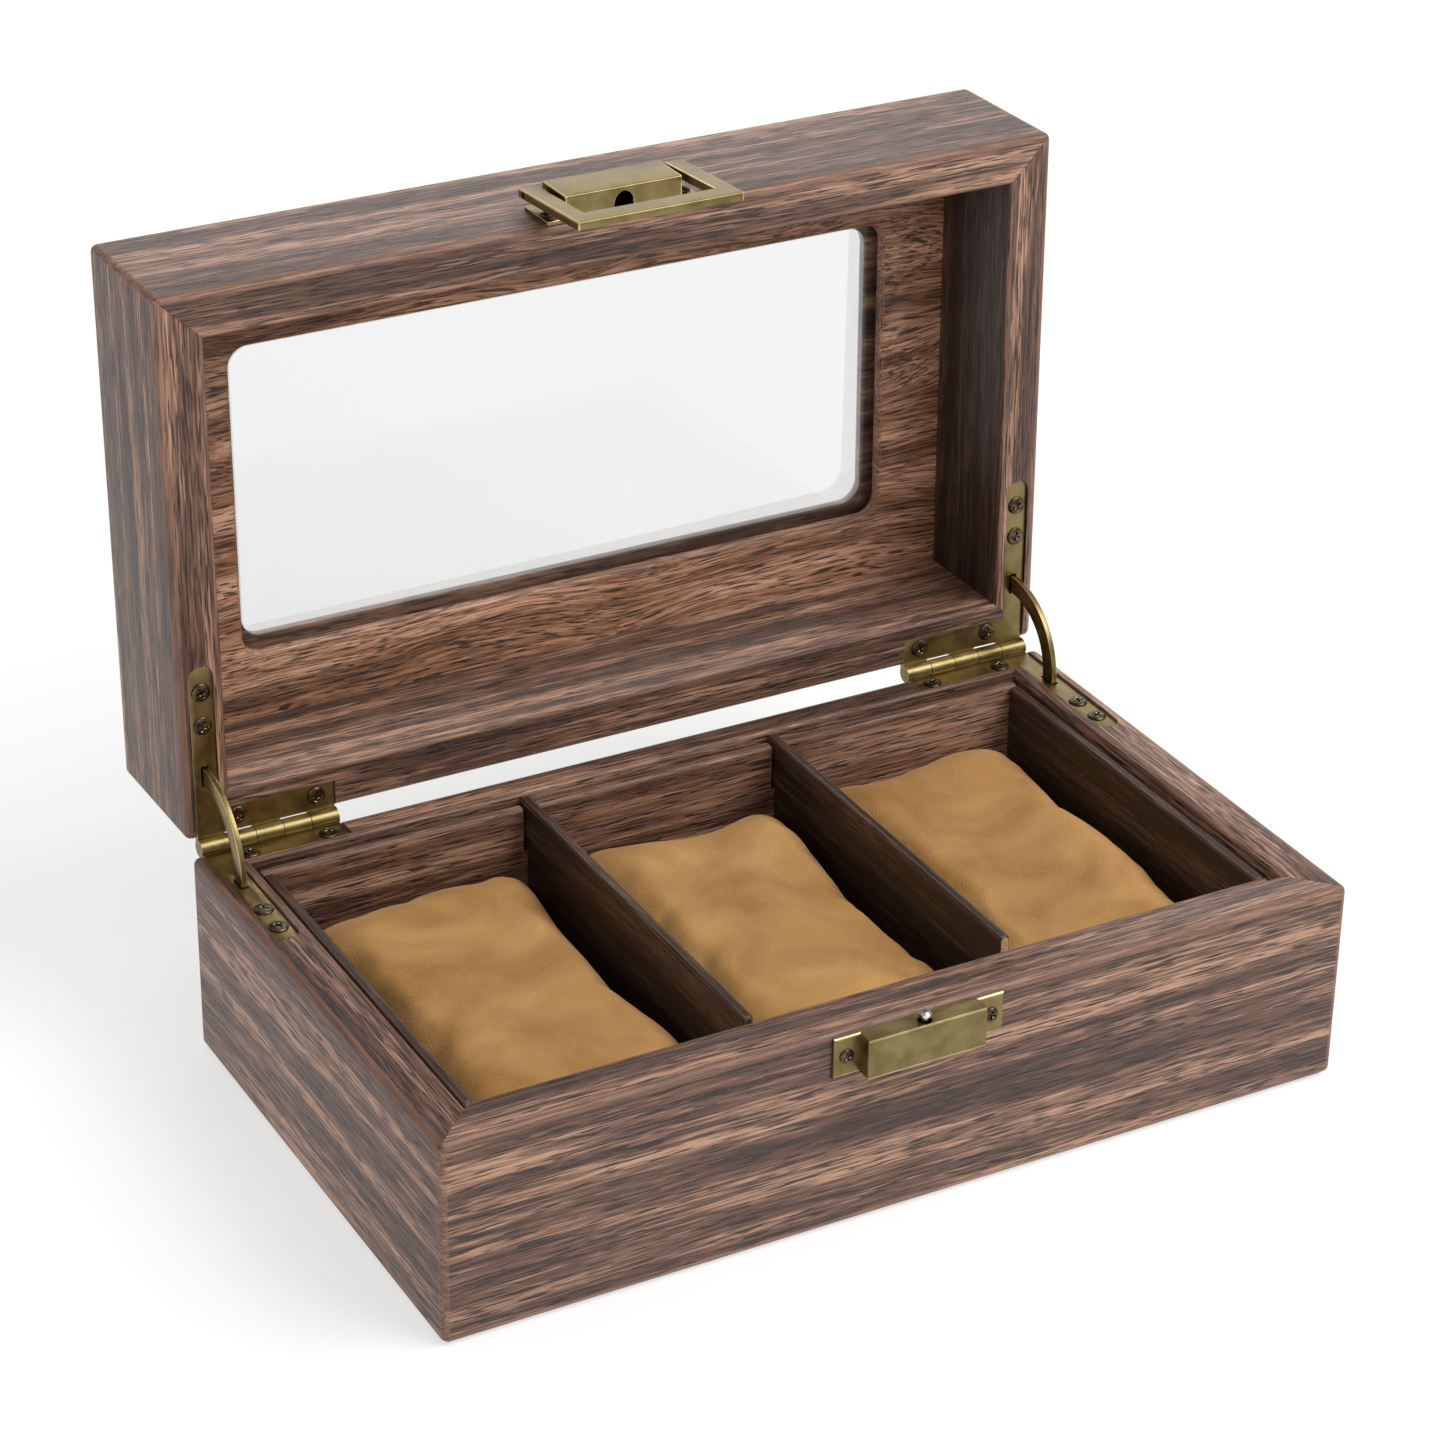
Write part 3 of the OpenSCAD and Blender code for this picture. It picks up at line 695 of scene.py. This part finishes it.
OUTER_WRAP = WalnutWrap("walnut_print_leatherette_outer", "walnut_wrap")
PANEL_WRAP = WalnutWrap(
    "walnut_print_leatherette_panel",
    "panel_wrap",
    dark="#573521",
    middle="#95684c",
    light="#cf9f83",
    wander_mm=7.0,
    band_mm=6.0,
)
LINER_WRAP = WalnutWrap(
    "walnut_print_leatherette_liner",
    "liner_wrap",
    dark="#432819",
    middle="#785440",
    light="#a8846c",
    edge="#86664f",
)
# The same leatherette darkened as painted shade. It stands for the shade on the deep faces of the tray's
# side liners and dividers, and on the inner faces of the lid's side rails.
SHADED_WRAP = WalnutWrap(
    "walnut_print_leatherette_painted_shade",
    "liner_wrap",
    dark="#1b0f08",
    middle="#311f14",
    light="#5a4435",
    edge="#6b4c39",
)
BRASS = AntiqueBrass("antique_brass_plate", "antique_brass")
SCREW_STEEL = PlainMetal("antique_plated_screw_steel", "steel_screws")
STUD_STEEL = PlainMetal(
    "nickel_plated_steel",
    "bright_steel",
    dark="#b4b4b2",
    light="#dadad8",
    bright="#f2f2f0",
    roughness=0.22,
)
SUEDE = Suede("tan_microsuede", "suede")
GLASS = WindowGlass("float_glass", "window_glass")
FELT = Fibre("brown_base_felt", "felt")
RAW_BOARD = Fibre("raw_fibreboard_end", "liner_wrap", low="#a3815a", high="#c4a47c", grit_mm=0.5)
STUDIO_WHITE = Fibre(
    "matt_white_studio_floor",
    "floor",
    low="#aaaaaa",
    high="#acacac",
    grit_mm=400,
    depth_mm=0.0,
    glow=0.6,
)


# ---------------------------------------------------------------- the swing of the lid


@dataclass(frozen=True)
class Swing:
    """The lid's turn about the hinge pins, from shut to the rest pose."""

    pivot: Vector
    degrees: float

    @staticmethod
    def from_record() -> "Swing":
        """Reads the pins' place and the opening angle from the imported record."""
        joint = next(j for j in frame["joints"] if j["name"] == "lid_hinge")
        return Swing(Vector(joint["pos_m"]), -min(joint["range_deg"]))

    def opened(self) -> Matrix:
        """The move that opens a piece built on the shut lid."""
        turn = Matrix.Rotation(-math.radians(self.degrees), 4, "X")
        return Matrix.Translation(self.pivot) @ turn @ Matrix.Translation(-self.pivot)

    def shut(self) -> Matrix:
        """The move that shuts a piece taken from the open lid."""
        return self.opened().inverted()


SWING = Swing.from_record()


# ---------------------------------------------------------------- wrapped boards

SIDES = ("front", "back", "left", "right")


@dataclass
class Board:
    """One wrapped board, from its CAD node.

    Its rounded outer arrises come from keeping what lies inside a rounded envelope, so that mitred
    neighbours share one rounding at a corner.
    """

    node: str
    run: Run
    start: float
    finish: WalnutWrap = OUTER_WRAP
    on_lid: bool = False
    envelope: Optional[Box] = None
    envelope_radius: float = 1.5 * MM
    roundings: List[Tuple[EdgeTest, float, int]] = field(default_factory=list)
    least: float = 2.0

    def build(self) -> bpy.types.Object:
        """Makes and places the board.

        Returns:
            The finished piece.
        """
        piece = node_copy(self.node, f"{self.node}_wrapped")
        if self.on_lid:
            settle(piece, SWING.shut())
        for test, width, segments in self.roundings:
            bevel(piece, test, width, segments, least=self.least)
        if self.envelope:
            carve(piece, self.rounded_envelope(), "INTERSECT")
        mark_roundings(piece)
        grain_coordinates(piece, self.run, self.start)
        if self.on_lid:
            settle(piece, SWING.opened())
        smooth(piece)
        return place(piece, self.finish, self.node)

    def rounded_envelope(self) -> bpy.types.Object:
        """A block a hair larger than the case, with all of its edges rounded.

        Returns:
            The block.
        """
        hair = Vector((HAIR,) * 3)
        shape = block(self.envelope[0] - hair, self.envelope[1] + hair, "envelope")
        bevel(shape, every_edge, self.envelope_radius, 6)
        return shape


def union_box(boxes: Iterable[Box]) -> Box:
    """The box round several boxes.

    Args:
        boxes: the lowest and highest corner of each.

    Returns:
        Lowest and highest corner.
    """
    lows, highs = zip(*boxes)
    return Vector([min(c) for c in zip(*lows)]), Vector([max(c) for c in zip(*highs)])


def on_plane(axis: int, value: float, run_axis: Optional[int] = None) -> EdgeTest:
    """An edge test for the edges that lie in a plane.

    Args:
        axis: the plane's axis, 0 to 2.
        value: its place on that axis.
        run_axis: the axis along which the edge must run, or None.

    Returns:
        The test.
    """

    def test(middle: Vector, way: Vector) -> bool:
        flat = abs(middle[axis] - value) < NEAR and abs(way[axis]) < 0.02
        return flat and (run_axis is None or abs(way[run_axis]) > 0.99)

    return test


def both(first: EdgeTest, second: EdgeTest) -> EdgeTest:
    """An edge test that passes what two tests pass."""
    return lambda middle, way: first(middle, way) and second(middle, way)


def mitre_line(level: float) -> EdgeTest:
    """An edge test for the mitre lines at a height.

    Args:
        level: the height of the rim.

    Returns:
        The test.
    """
    return lambda middle, way: abs(middle.z - level) < NEAR and abs(way.x) > 0.3 and abs(way.y) > 0.3


def inner_rims(boxes: Dict[str, Box], rim: float) -> Dict[str, EdgeTest]:
    """Edge tests for the inner line of the rim, on each side of a frame of four boards.

    Args:
        boxes: the box of each side's board.
        rim: the height of the rim.

    Returns:
        The test for each side.
    """
    return {
        "front": both(on_plane(2, rim, 0), on_plane(1, boxes["front"][1].y)),
        "back": both(on_plane(2, rim, 0), on_plane(1, boxes["back"][0].y)),
        "left": both(on_plane(2, rim, 1), on_plane(0, boxes["left"][1].x)),
        "right": both(on_plane(2, rim, 1), on_plane(0, boxes["right"][0].x)),
    }


@dataclass
class Case:
    """The wrapped base: four mitred boards, the bottom and its felt."""

    rim_radius: float = 0.8 * MM
    arris_radius: float = 1.6 * MM
    seam: float = 0.12 * MM

    def build(self) -> None:
        """Makes the boards, then dresses the flat parts inside and below."""
        boxes = {side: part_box(f"base_{side}_board") for side in SIDES}
        envelope = union_box(boxes.values())
        rim = envelope[1].z
        for number, (side, test) in enumerate(inner_rims(boxes, rim).items()):
            Board(
                f"base_{side}_board",
                Run.ALONG_X if side in ("front", "back") else Run.ALONG_Y,
                0.31 + 0.17 * number,
                envelope=envelope,
                envelope_radius=self.arris_radius,
                roundings=[(test, self.rim_radius, 3), (mitre_line(rim), self.seam, 1)],
            ).build()
        for number, node in enumerate(("base_bottom_panel", "tray_floor")):
            Board(node, Run.ALONG_X, 1.3 + number, LINER_WRAP, roundings=[(every_edge, 0.2 * MM, 1)]).build()
        felt = node_copy("base_felt", "base_felt_sheet")
        bevel(felt, every_edge, 0.25 * MM, 2)
        smooth(felt)
        place(felt, FELT, "base_felt")


@dataclass
class Tray:
    """The liner boards and the dividers between the cushions."""

    radius: float = 0.7 * MM

    def build(self) -> None:
        """Makes four liner boards and two dividers, one with its raw end showing."""
        runs = {"front": Run.ALONG_X, "back": Run.ALONG_X, "left": Run.ALONG_Y, "right": Run.ALONG_Y}
        rounding = [(every_edge, self.radius, 3)]
        # The side liners take the wrap darkened with painted shade. The front and back liners keep the
        # liner's own tones.
        for number, (side, run) in enumerate(runs.items()):
            film = LINER_WRAP if run is Run.ALONG_X else SHADED_WRAP
            Board(f"liner_{side}", run, 2.1 + 0.19 * number, film, roundings=rounding).build()
        # Painted shade: the dividers take the darkened wrap.
        for number, side in enumerate(("left", "right")):
            start = 3.3 + 0.21 * number
            piece = Board(f"divider_{side}", Run.ALONG_Y, start, SHADED_WRAP, roundings=rounding).build()
            if side == "right":
                self.show_raw_end(piece)

    def show_raw_end(self, piece: bpy.types.Object) -> None:
        """Leaves the front end of a divider unwrapped.

        Args:
            piece: the divider.
        """
        piece.data.materials.append(RAW_BOARD.material())
        for face in piece.data.polygons:
            if face.normal.y < -FLAT:
                face.material_index = 1


@dataclass
class Lid:
    """The lid: four mitred rails, the top panel, the glass and the inner panel."""

    arris_radius: float = 1.6 * MM
    rim_radius: float = 0.9 * MM
    seam: float = 0.12 * MM

    def build(self) -> None:
        """Makes the rails, the panels and the glass."""
        boxes = {side: self.shut_box(f"lid_{side}_rail") for side in SIDES}
        low, high = union_box(boxes.values())
        rim = low.z
        for number, (side, test) in enumerate(inner_rims(boxes, rim).items()):
            piece = Board(
                f"lid_{side}_rail",
                Run.ALONG_X if side in ("front", "back") else Run.ALONG_Y,
                4.37 + 0.23 * number,
                on_lid=True,
                envelope=(low, high),
                envelope_radius=self.arris_radius,
                roundings=[
                    (test, self.rim_radius, 3),
                    (mitre_line(rim), self.seam, 1),
                    (mitre_line(high.z), self.seam, 1),
                ],
            ).build()
            # Painted shade: the inner faces of the side rails take the darkened wrap.
            if side in ("left", "right"):
                self.paint_inner_face_shade(piece)
        self.build_panels(high.z)

    def paint_inner_face_shade(self, piece: bpy.types.Object) -> None:
        """Gives the inner face of a side rail the darkened wrap of painted shade.

        Args:
            piece: the rail.
        """
        piece.data.materials.append(SHADED_WRAP.material())
        inwards = -1 if "right" in piece.name else 1
        for face in piece.data.polygons:
            if face.normal.x * inwards > FLAT:
                face.material_index = 1

    def shut_box(self, node: str) -> Box:
        """The box of a lid node with the lid shut.

        Args:
            node: the CAD node.

        Returns:
            Lowest and highest corner.
        """
        points = np.array([SWING.shut() @ v.co for v in frame["nodes"][node].data.vertices])
        return Vector(points.min(0)), Vector(points.max(0))

    def build_panels(self, top: float) -> None:
        """Makes the two panels round the window, and the glass.

        Args:
            top: the height of the shut lid.
        """
        low, high = self.shut_box("lid_glass")
        edge = 0.5 * MM

        def round_window(middle: Vector, _way: Vector) -> bool:
            inside = low.x - edge < middle.x < high.x + edge and low.y - edge < middle.y < high.y + edge
            return inside

        Board(
            "lid_top_panel",
            Run.ALONG_X,
            6.2,
            on_lid=True,
            roundings=[(both(round_window, on_plane(2, top)), 1.2 * MM, 4)],
            least=0.0,
        ).build()
        Board(
            "lid_inner_panel",
            Run.ALONG_X,
            6.9,
            PANEL_WRAP,
            on_lid=True,
            roundings=[(round_window, 0.7 * MM, 3)],
            least=0.0,
        ).build()
        glass = node_copy("lid_glass", "lid_glass_pane")
        bevel(glass, every_edge, 0.15 * MM, 2)
        place(glass, GLASS, "lid_glass")


# ---------------------------------------------------------------- hardware


@dataclass
class PanScrew:
    """A cross-head screw with a domed pan head, modelled once and copied."""

    radius: float
    height: float = 0.55 * MM
    cross_long: float = 2.3 * MM
    cross_wide: float = 0.5 * MM
    cross_deep: float = 0.42 * MM
    rim: float = 0.2 * MM
    shank: float = 3 * MM
    dome: Tuple[Tuple[float, float], ...] = ((0.97, 0.22), (0.88, 0.2), (0.7, 0.14), (0.45, 0.07))

    def model(self) -> bpy.types.Object:
        """Models the screw at the origin, its head up. The dome is given as shares of the radius and rise.

        Returns:
            The screw.
        """
        deselect()
        bpy.ops.mesh.primitive_cylinder_add(
            vertices=40, radius=self.radius, depth=self.rim, location=(0, 0, self.rim / 2)
        )
        screw = settle(bpy.context.object)
        bpy.ops.object.mode_set(mode="EDIT")
        self.pick_face(screw, 1)
        rise = (self.height - self.rim) / sum(lift for _share, lift in self.dome)
        for share, lift in self.dome:
            bpy.ops.mesh.extrude_region_move(TRANSFORM_OT_translate={"value": (0, 0, lift * rise)})
            now = max(v.co.xy.length for v in bmesh.from_edit_mesh(screw.data).verts if v.select)
            ratio = share * self.radius / now
            bpy.ops.transform.resize(value=(ratio, ratio, 1), center_override=(0, 0, 0))
        self.pick_face(screw, -1)
        bpy.ops.mesh.inset(thickness=self.radius * 0.5)
        bpy.ops.mesh.extrude_region_move(TRANSFORM_OT_translate={"value": (0, 0, -self.shank)})
        bpy.ops.object.mode_set(mode="OBJECT")
        long, wide = self.cross_long / 2, self.cross_wide / 2
        for angle in (0.0, 90.0):
            floor, over = self.height - self.cross_deep, self.height + MM
            slot = block((-long, -wide, floor), (long, wide, over), "cross")
            bevel(slot, lambda m, w: m.z < self.height and abs(w.y) > 0.9, 0.3 * MM, 1)
            carve(screw, settle(slot, Matrix.Rotation(math.radians(angle), 4, "Z")))
        reach = self.cross_long * 0.55
        bevel(screw, lambda m, w: m.z > 0.15 * MM and m.xy.length < reach, 0.05 * MM, 1, worn=0.9)
        return screw

    @staticmethod
    def pick_face(screw: bpy.types.Object, up: int) -> None:
        """Selects the end face of a screw in edit mode.

        Args:
            screw: the screw.
            up: 1 for the head's face, -1 for the underside.
        """
        bpy.ops.mesh.select_mode(type="FACE")
        bpy.ops.mesh.select_all(action="DESELECT")
        mesh = bmesh.from_edit_mesh(screw.data)
        for item in mesh.faces:
            if item.normal.z * up > 0.9:
                item.select_set(True)
        bmesh.update_edit_mesh(screw.data)

    def set_of(self, node: str, places: Iterable[Matrix]) -> bpy.types.Object:
        """Copies the screw to each place and joins the copies into one piece.

        Args:
            node: the CAD node that they stand for.
            places: where each head sits.

        Returns:
            The joined piece.
        """
        master = self.model()
        made = []
        for spot in places:
            copy = bpy.data.objects.new("screw", master.data.copy())
            bpy.context.scene.collection.objects.link(copy)
            made.append(settle(copy, spot))
        bpy.data.objects.remove(master)
        piece = join(made, f"{node}_set")
        smooth(piece, 40)
        return place(piece, SCREW_STEEL, node)


def loose_heads(node: str, shut: bool, out: Vector) -> List[Matrix]:
    """Finds where the heads of a CAD node's screws sit.

    Args:
        node: a CAD node of loose screws.
        shut: whether to look at them with the lid shut and then open the result.
        out: the way that the heads face, in that state.

    Returns:
        One move for each screw, from the origin with its head up to its seat.
    """
    copy = node_copy(node, "heads")
    if shut:
        settle(copy, SWING.shut())
    mesh = bmesh.new()
    mesh.from_mesh(copy.data)
    left, groups = set(mesh.verts), []
    while left:
        stack, group = [left.pop()], []
        while stack:
            vert = stack.pop()
            group.append(vert.co.copy())
            for edge in vert.link_edges:
                other = edge.other_vert(vert)
                if other in left:
                    left.discard(other)
                    stack.append(other)
        groups.append(np.array(group))
    mesh.free()
    bpy.data.objects.remove(copy)
    turn = out.to_track_quat("Z", "Y").to_matrix().to_4x4()
    opened = SWING.opened() if shut else Matrix.Identity(4)
    places = []
    groups.sort(key=lambda g: (round(g[:, 0].mean(), 4), round(g[:, 1].mean(), 4)))
    for number, group in enumerate(groups):
        middle = Vector((group.max(0) + group.min(0)) / 2)
        along = group @ np.array(out)
        seat = middle + out * (along.max() - HEAD_HEIGHT - middle.dot(out))
        spin = Matrix.Rotation(math.radians(23 + 47 * number), 4, "Z")
        places.append(opened @ Matrix.Translation(seat) @ turn @ spin)
    return places


HEAD_HEIGHT = 0.5 * MM
UP = Vector((0, 0, 1))
DOWN = Vector((0, 0, -1))
FRONT = Vector((0, -1, 0))


@dataclass
class StopHinge:
    """One stop hinge: two leaves with their knuckles, the pin, the screws and the stay blade."""

    side: str
    edge: float = 0.16 * MM
    corner: float = 1.3 * MM

    def build(self) -> None:
        """Makes the leaves, pin, blade and screws."""
        self.leaf(f"hinge_{self.side}_base_leaf", False)
        self.leaf(f"hinge_{self.side}_lid_leaf", True)
        pin = node_copy(f"hinge_{self.side}_pin", f"hinge_{self.side}_pin_rod")
        bevel(pin, every_edge, 0.12 * MM, 2, worn=1.0)
        smooth(pin)
        place(pin, BRASS, f"hinge_{self.side}_pin")
        stay = node_copy(f"stay_{self.side}", f"stay_{self.side}_blade")
        bevel(stay, lambda m, w: abs(w.x) < 0.5, 0.14 * MM, 2, worn=0.9)
        smooth(stay)
        place(stay, BRASS, f"stay_{self.side}")
        screw = PanScrew(2.05 * MM)
        for part, shut, out in (("base", False, UP), ("lid", True, DOWN)):
            node = f"hinge_{self.side}_{part}_screws"
            screw.set_of(node, loose_heads(node, shut, out))

    def leaf(self, node: str, on_lid: bool) -> None:
        """Makes one leaf with its free corner rounded and its edges rubbed.

        Args:
            node: the leaf's CAD node.
            on_lid: whether it is the lid's leaf.
        """
        piece = node_copy(node, f"{node}_plate")
        if on_lid:
            settle(piece, SWING.shut())
        low, high = span(piece)
        free_x = low.x if self.side == "right" else high.x
        front = min(v.co.y for v in piece.data.vertices if abs(v.co.x - free_x) < NEAR)
        bevel(
            piece,
            lambda m, w: abs(m.x - free_x) < NEAR and abs(m.y - front) < 0.1 * MM and abs(w.z) > 0.9,
            self.corner,
            5,
        )
        bevel(piece, every_edge, self.edge, 2, worn=1.0)
        if on_lid:
            settle(piece, SWING.opened())
        smooth(piece)
        place(piece, BRASS, node)


@dataclass
class Catch:
    """The catch on the base's front: folded sheet brass, a bright stud and two screws."""

    fold: float = 0.42 * MM

    def build(self) -> None:
        """Makes the body, the stud and the screws."""
        body = node_copy("catch_body", "catch_body_sheet")
        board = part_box("base_front_board")[0].y
        bevel(body, lambda m, w: m.y < board - 0.3 * MM, self.fold, 4, worn=1.0)
        smooth(body)
        place(body, BRASS, "catch_body")
        self.stud()
        PanScrew(1.6 * MM, cross_long=1.9 * MM, cross_wide=0.42 * MM).set_of(
            "catch_screws", loose_heads("catch_screws", False, FRONT)
        )

    def stud(self) -> None:
        """Rounds the stud's head and cuts a cross in it."""
        piece = node_copy("catch_stud", "catch_stud_turned")
        low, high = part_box("catch_stud")
        middle = (low + high) / 2
        bevel(piece, lambda m, w: m.z > high.z - 0.7 * MM, 0.12 * MM, 3, worn=0.6)
        for angle in (20.0, 110.0):
            slot = block((-0.7 * MM, -0.14 * MM, -0.3 * MM), (0.7 * MM, 0.14 * MM, MM), "cross")
            turn = Matrix.Rotation(math.radians(angle), 4, "Z")
            carve(piece, settle(slot, Matrix.Translation((middle.x, middle.y, high.z)) @ turn))
        smooth(piece)
        place(piece, STUD_STEEL, "catch_stud")


@dataclass
class Latch:
    """The latch on the lid's front: plate, hollow block, cross pin, screws and the swinging frame."""

    fold: float = 0.42 * MM

    def build(self) -> None:
        """Makes each piece of the latch."""
        for node, name, width in (
            ("latch_plate", "latch_plate_sheet", 0.2 * MM),
            ("latch_block", "latch_block_sheet", self.fold),
            ("latch_pin", "latch_pin_rod", 0.15 * MM),
            ("latch_bail", "latch_bail_frame", 0.38 * MM),
        ):
            piece = settle(node_copy(node, name), SWING.shut())
            seat = span(piece)[1].y
            bevel(piece, lambda m, w: node != "latch_block" or m.y < seat - 0.3 * MM, width, 4, worn=1.0)
            if node == "latch_block":
                bevel(piece, every_edge, 0.1 * MM, 2, worn=1.0)
            settle(piece, SWING.opened())
            smooth(piece)
            place(piece, BRASS, node)
        PanScrew(1.6 * MM, cross_long=1.9 * MM, cross_wide=0.42 * MM).set_of(
            "latch_screws", loose_heads("latch_screws", True, FRONT)
        )


# ---------------------------------------------------------------- cushions


@dataclass
class WatchCushion:
    """One stuffed suede cushion. Its cover is blown up by a cloth simulation, ten times life size.

    Its lowest part, the share called sink, is pressed flat, and the turn above it is the share called flat.
    """

    bay: str
    seed: float
    grow: float = 10.0
    thin: float = 0.84
    cap: float = 0.03
    frames: int = 20
    sink: float = 0.12
    flat: float = 0.08

    def build(self) -> None:
        """Makes the cushion in the space of its CAD cover."""
        low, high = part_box(f"cushion_{self.bay}_cover")
        size = (high - low) * self.grow
        pillow = self.start_shape(size)
        self.inflate(pillow)
        apply_modifier(pillow, "SUBSURF", levels=1, render_levels=1)
        self.fit(pillow, low, high)
        activate(pillow)
        bpy.ops.object.shade_smooth()
        pillow.name = f"cushion_{self.bay}_suede"
        place(pillow, SUEDE, f"cushion_{self.bay}_cover", f"cushion_{self.bay}_foam")

    def start_shape(self, size: Vector) -> bpy.types.Object:
        """A slack pillow: thin towards its sewn edge, thickest in the middle, remeshed for the cloth.

        Args:
            size: the finished cushion's size, ten times life size.

        Returns:
            The pillow, centred on the origin.
        """
        half = size / 2
        deselect()
        bpy.ops.mesh.primitive_cube_add(size=1)
        pillow = bpy.context.object
        pillow.scale = size
        settle(pillow)
        bpy.ops.object.mode_set(mode="EDIT")
        bpy.ops.mesh.subdivide(number_cuts=15)
        bpy.ops.object.mode_set(mode="OBJECT")
        for vert in pillow.data.vertices:
            u, v = vert.co.x / half.x, vert.co.y / half.y
            edge = (1 - abs(u) ** 16) * (1 - abs(v) ** 16)
            corner = max(abs(u) + abs(v) - 1.6, 0) / 0.4
            thick = self.thin * (0.64 + 0.36 * max(edge, 0) ** 0.5) * (1 - 0.25 * corner) * (1 + 0.12 * v)
            lump = noise.noise(Vector((u * 1.3 + self.seed, v * 1.6, self.seed * 0.7)))
            vert.co.z *= thick * (1 + 0.22 * lump)
            vert.co.x *= 1 - 0.03 * abs(u) ** 3 * (1 - v**4)
            vert.co.y *= 1 - 0.03 * abs(v) ** 3 * (1 - u**4)
        activate(pillow)
        pillow.data.remesh_voxel_size = 0.026
        bpy.ops.object.voxel_remesh()
        return pillow

    def inflate(self, pillow: bpy.types.Object) -> None:
        """Blows the cover up with cloth and caps how far each point may move.

        Args:
            pillow: the start shape.
        """
        before = np.array([v.co for v in pillow.data.vertices])
        activate(pillow)
        cloth = pillow.modifiers.new("Cloth", "CLOTH")
        stuffing = {
            "quality": 6,
            "mass": 0.3,
            "tension_stiffness": 15,
            "compression_stiffness": 15,
            "shear_stiffness": 5,
            "bending_stiffness": 0.3,
            "use_pressure": True,
            "uniform_pressure_force": 4.0,
        }
        for key, value in stuffing.items():
            setattr(cloth.settings, key, value)
        cloth.settings.effector_weights.gravity = 0
        cloth.point_cache.frame_start = 1
        cloth.point_cache.frame_end = self.frames
        for number in range(1, self.frames + 1):
            bpy.context.scene.frame_set(number)
        bpy.ops.object.modifier_apply(modifier=cloth.name)
        after = np.array([v.co for v in pillow.data.vertices])
        move = after - before
        length = np.linalg.norm(move, axis=1, keepdims=True)
        scale = np.where(length > self.cap, self.cap / np.maximum(length, 1e-9), 1.0)
        pillow.data.vertices.foreach_set("co", (before + move * scale).astype(np.float32).ravel())
        bpy.context.scene.frame_set(1)

    def fit(self, pillow: bpy.types.Object, low: Vector, high: Vector) -> None:
        """Scales the pillow into its CAD cover's box and flattens it where it rests on the tray.

        Args:
            pillow: the blown-up pillow.
            low: the cover's lowest corner.
            high: its highest corner.
        """
        points = np.array([v.co for v in pillow.data.vertices])
        span_now = points.max(0) - points.min(0)
        target = np.array(high - low)
        unit = (points - points.min(0)) / span_now
        rise = (unit[:, 2] - self.sink) / (1 - self.sink)
        flat = self.flat
        unit[:, 2] = np.where(rise > flat, rise, flat * np.exp((np.minimum(rise, flat) - flat) / flat))
        unit[:, 2] = (unit[:, 2] - unit[:, 2].min()) / (unit[:, 2].max() - unit[:, 2].min())
        pillow.data.vertices.foreach_set("co", (np.array(low) + unit * target).astype(np.float32).ravel())
        pillow.data.update()


# ---------------------------------------------------------------- studio


@dataclass
class Studio:
    """A pale floor, soft light and the camera."""

    azimuth: float = -28.96
    elevation: float = 28.34
    roll: float = 0.83
    lens: float = 103.9
    spot: Tuple[float, float, float] = (-0.3677, -0.6440, 0.4806)
    softboxes: Tuple[Tuple[str, Tuple[float, float, float], float, float], ...] = (
        ("key_softbox", (0.85, -0.95, 1.6), 1.3, 32),
        ("fill_softbox", (-0.7, -1.7, 1.4), 1.5, 5),
        ("back_softbox", (1.0, 1.9, 1.25), 1.8, 11),
    )

    def build(self) -> None:
        """Makes the floor, the world, the lamps and the camera."""
        self.floor()
        self.world()
        for name, spot, size, watts in self.softboxes:
            self.lamp(name, spot, size, watts)
        self.camera()

    def floor(self) -> None:
        """A wide matt floor that carries the soft shadow."""
        deselect()
        bpy.ops.mesh.primitive_plane_add(size=12, location=(0, 0, 0))
        floor = settle(bpy.context.object)
        floor.name = "studio_floor"
        floor.data.materials.append(STUDIO_WHITE.material())

    def world(self) -> None:
        """An even white surround."""
        world = bpy.data.worlds.new("studio")
        world.use_nodes = True
        back = world.node_tree.nodes["Background"]
        back.inputs["Color"].default_value = linear("#ffffff")
        back.inputs["Strength"].default_value = 0.5
        bpy.context.scene.world = world
        bpy.context.scene.view_settings.view_transform = "Standard"

    def lamp(self, name: str, spot: Sequence[float], size: float, watts: float) -> None:
        """Adds a square softbox aimed at the box.

        Args:
            name: the lamp's name.
            spot: its place.
            size: the side of its face.
            watts: its power.
        """
        data = bpy.data.lights.new(name, "AREA")
        data.shape = "SQUARE"
        data.size = size
        data.energy = watts
        lamp = bpy.data.objects.new(name, data)
        bpy.context.scene.collection.objects.link(lamp)
        lamp.location = spot
        aim = Vector((0, 0, 0.07)) - Vector(spot)
        lamp.rotation_mode = "QUATERNION"
        lamp.rotation_quaternion = aim.to_track_quat("-Z", "Y")

    def camera(self) -> None:
        """Places the camera by its azimuth, elevation and roll."""
        a, e, r = (math.radians(x) for x in (self.azimuth, self.elevation, self.roll))
        back = Vector((math.sin(a) * math.cos(e), -math.cos(a) * math.cos(e), math.sin(e)))
        right = Vector((math.cos(a), math.sin(a), 0.0))
        up = back.cross(right)
        across = right * math.cos(r) + up * math.sin(r)
        rise = back.cross(across)
        data = bpy.data.cameras.new("camera")
        data.sensor_width = 36
        data.lens = self.lens
        data.clip_start = 0.01
        camera = bpy.data.objects.new("camera", data)
        bpy.context.scene.collection.objects.link(camera)
        turn = Matrix((across, rise, back)).transposed().to_4x4()
        camera.matrix_world = Matrix.Translation(self.spot) @ turn
        bpy.context.scene.camera = camera


def main() -> None:
    """Builds the box, piece by piece, and the studio round it."""
    logging.basicConfig(level=logging.INFO, format="%(message)s", stream=sys.stdout)
    Studio().build()
    Case().build()
    Tray().build()
    Lid().build()
    for side in ("left", "right"):
        StopHinge(side).build()
    Catch().build()
    Latch().build()
    for number, bay in enumerate(("left", "middle", "right")):
        WatchCushion(bay, 1.3 + 2.1 * number).build()


if __name__ == "__main__":
    main()
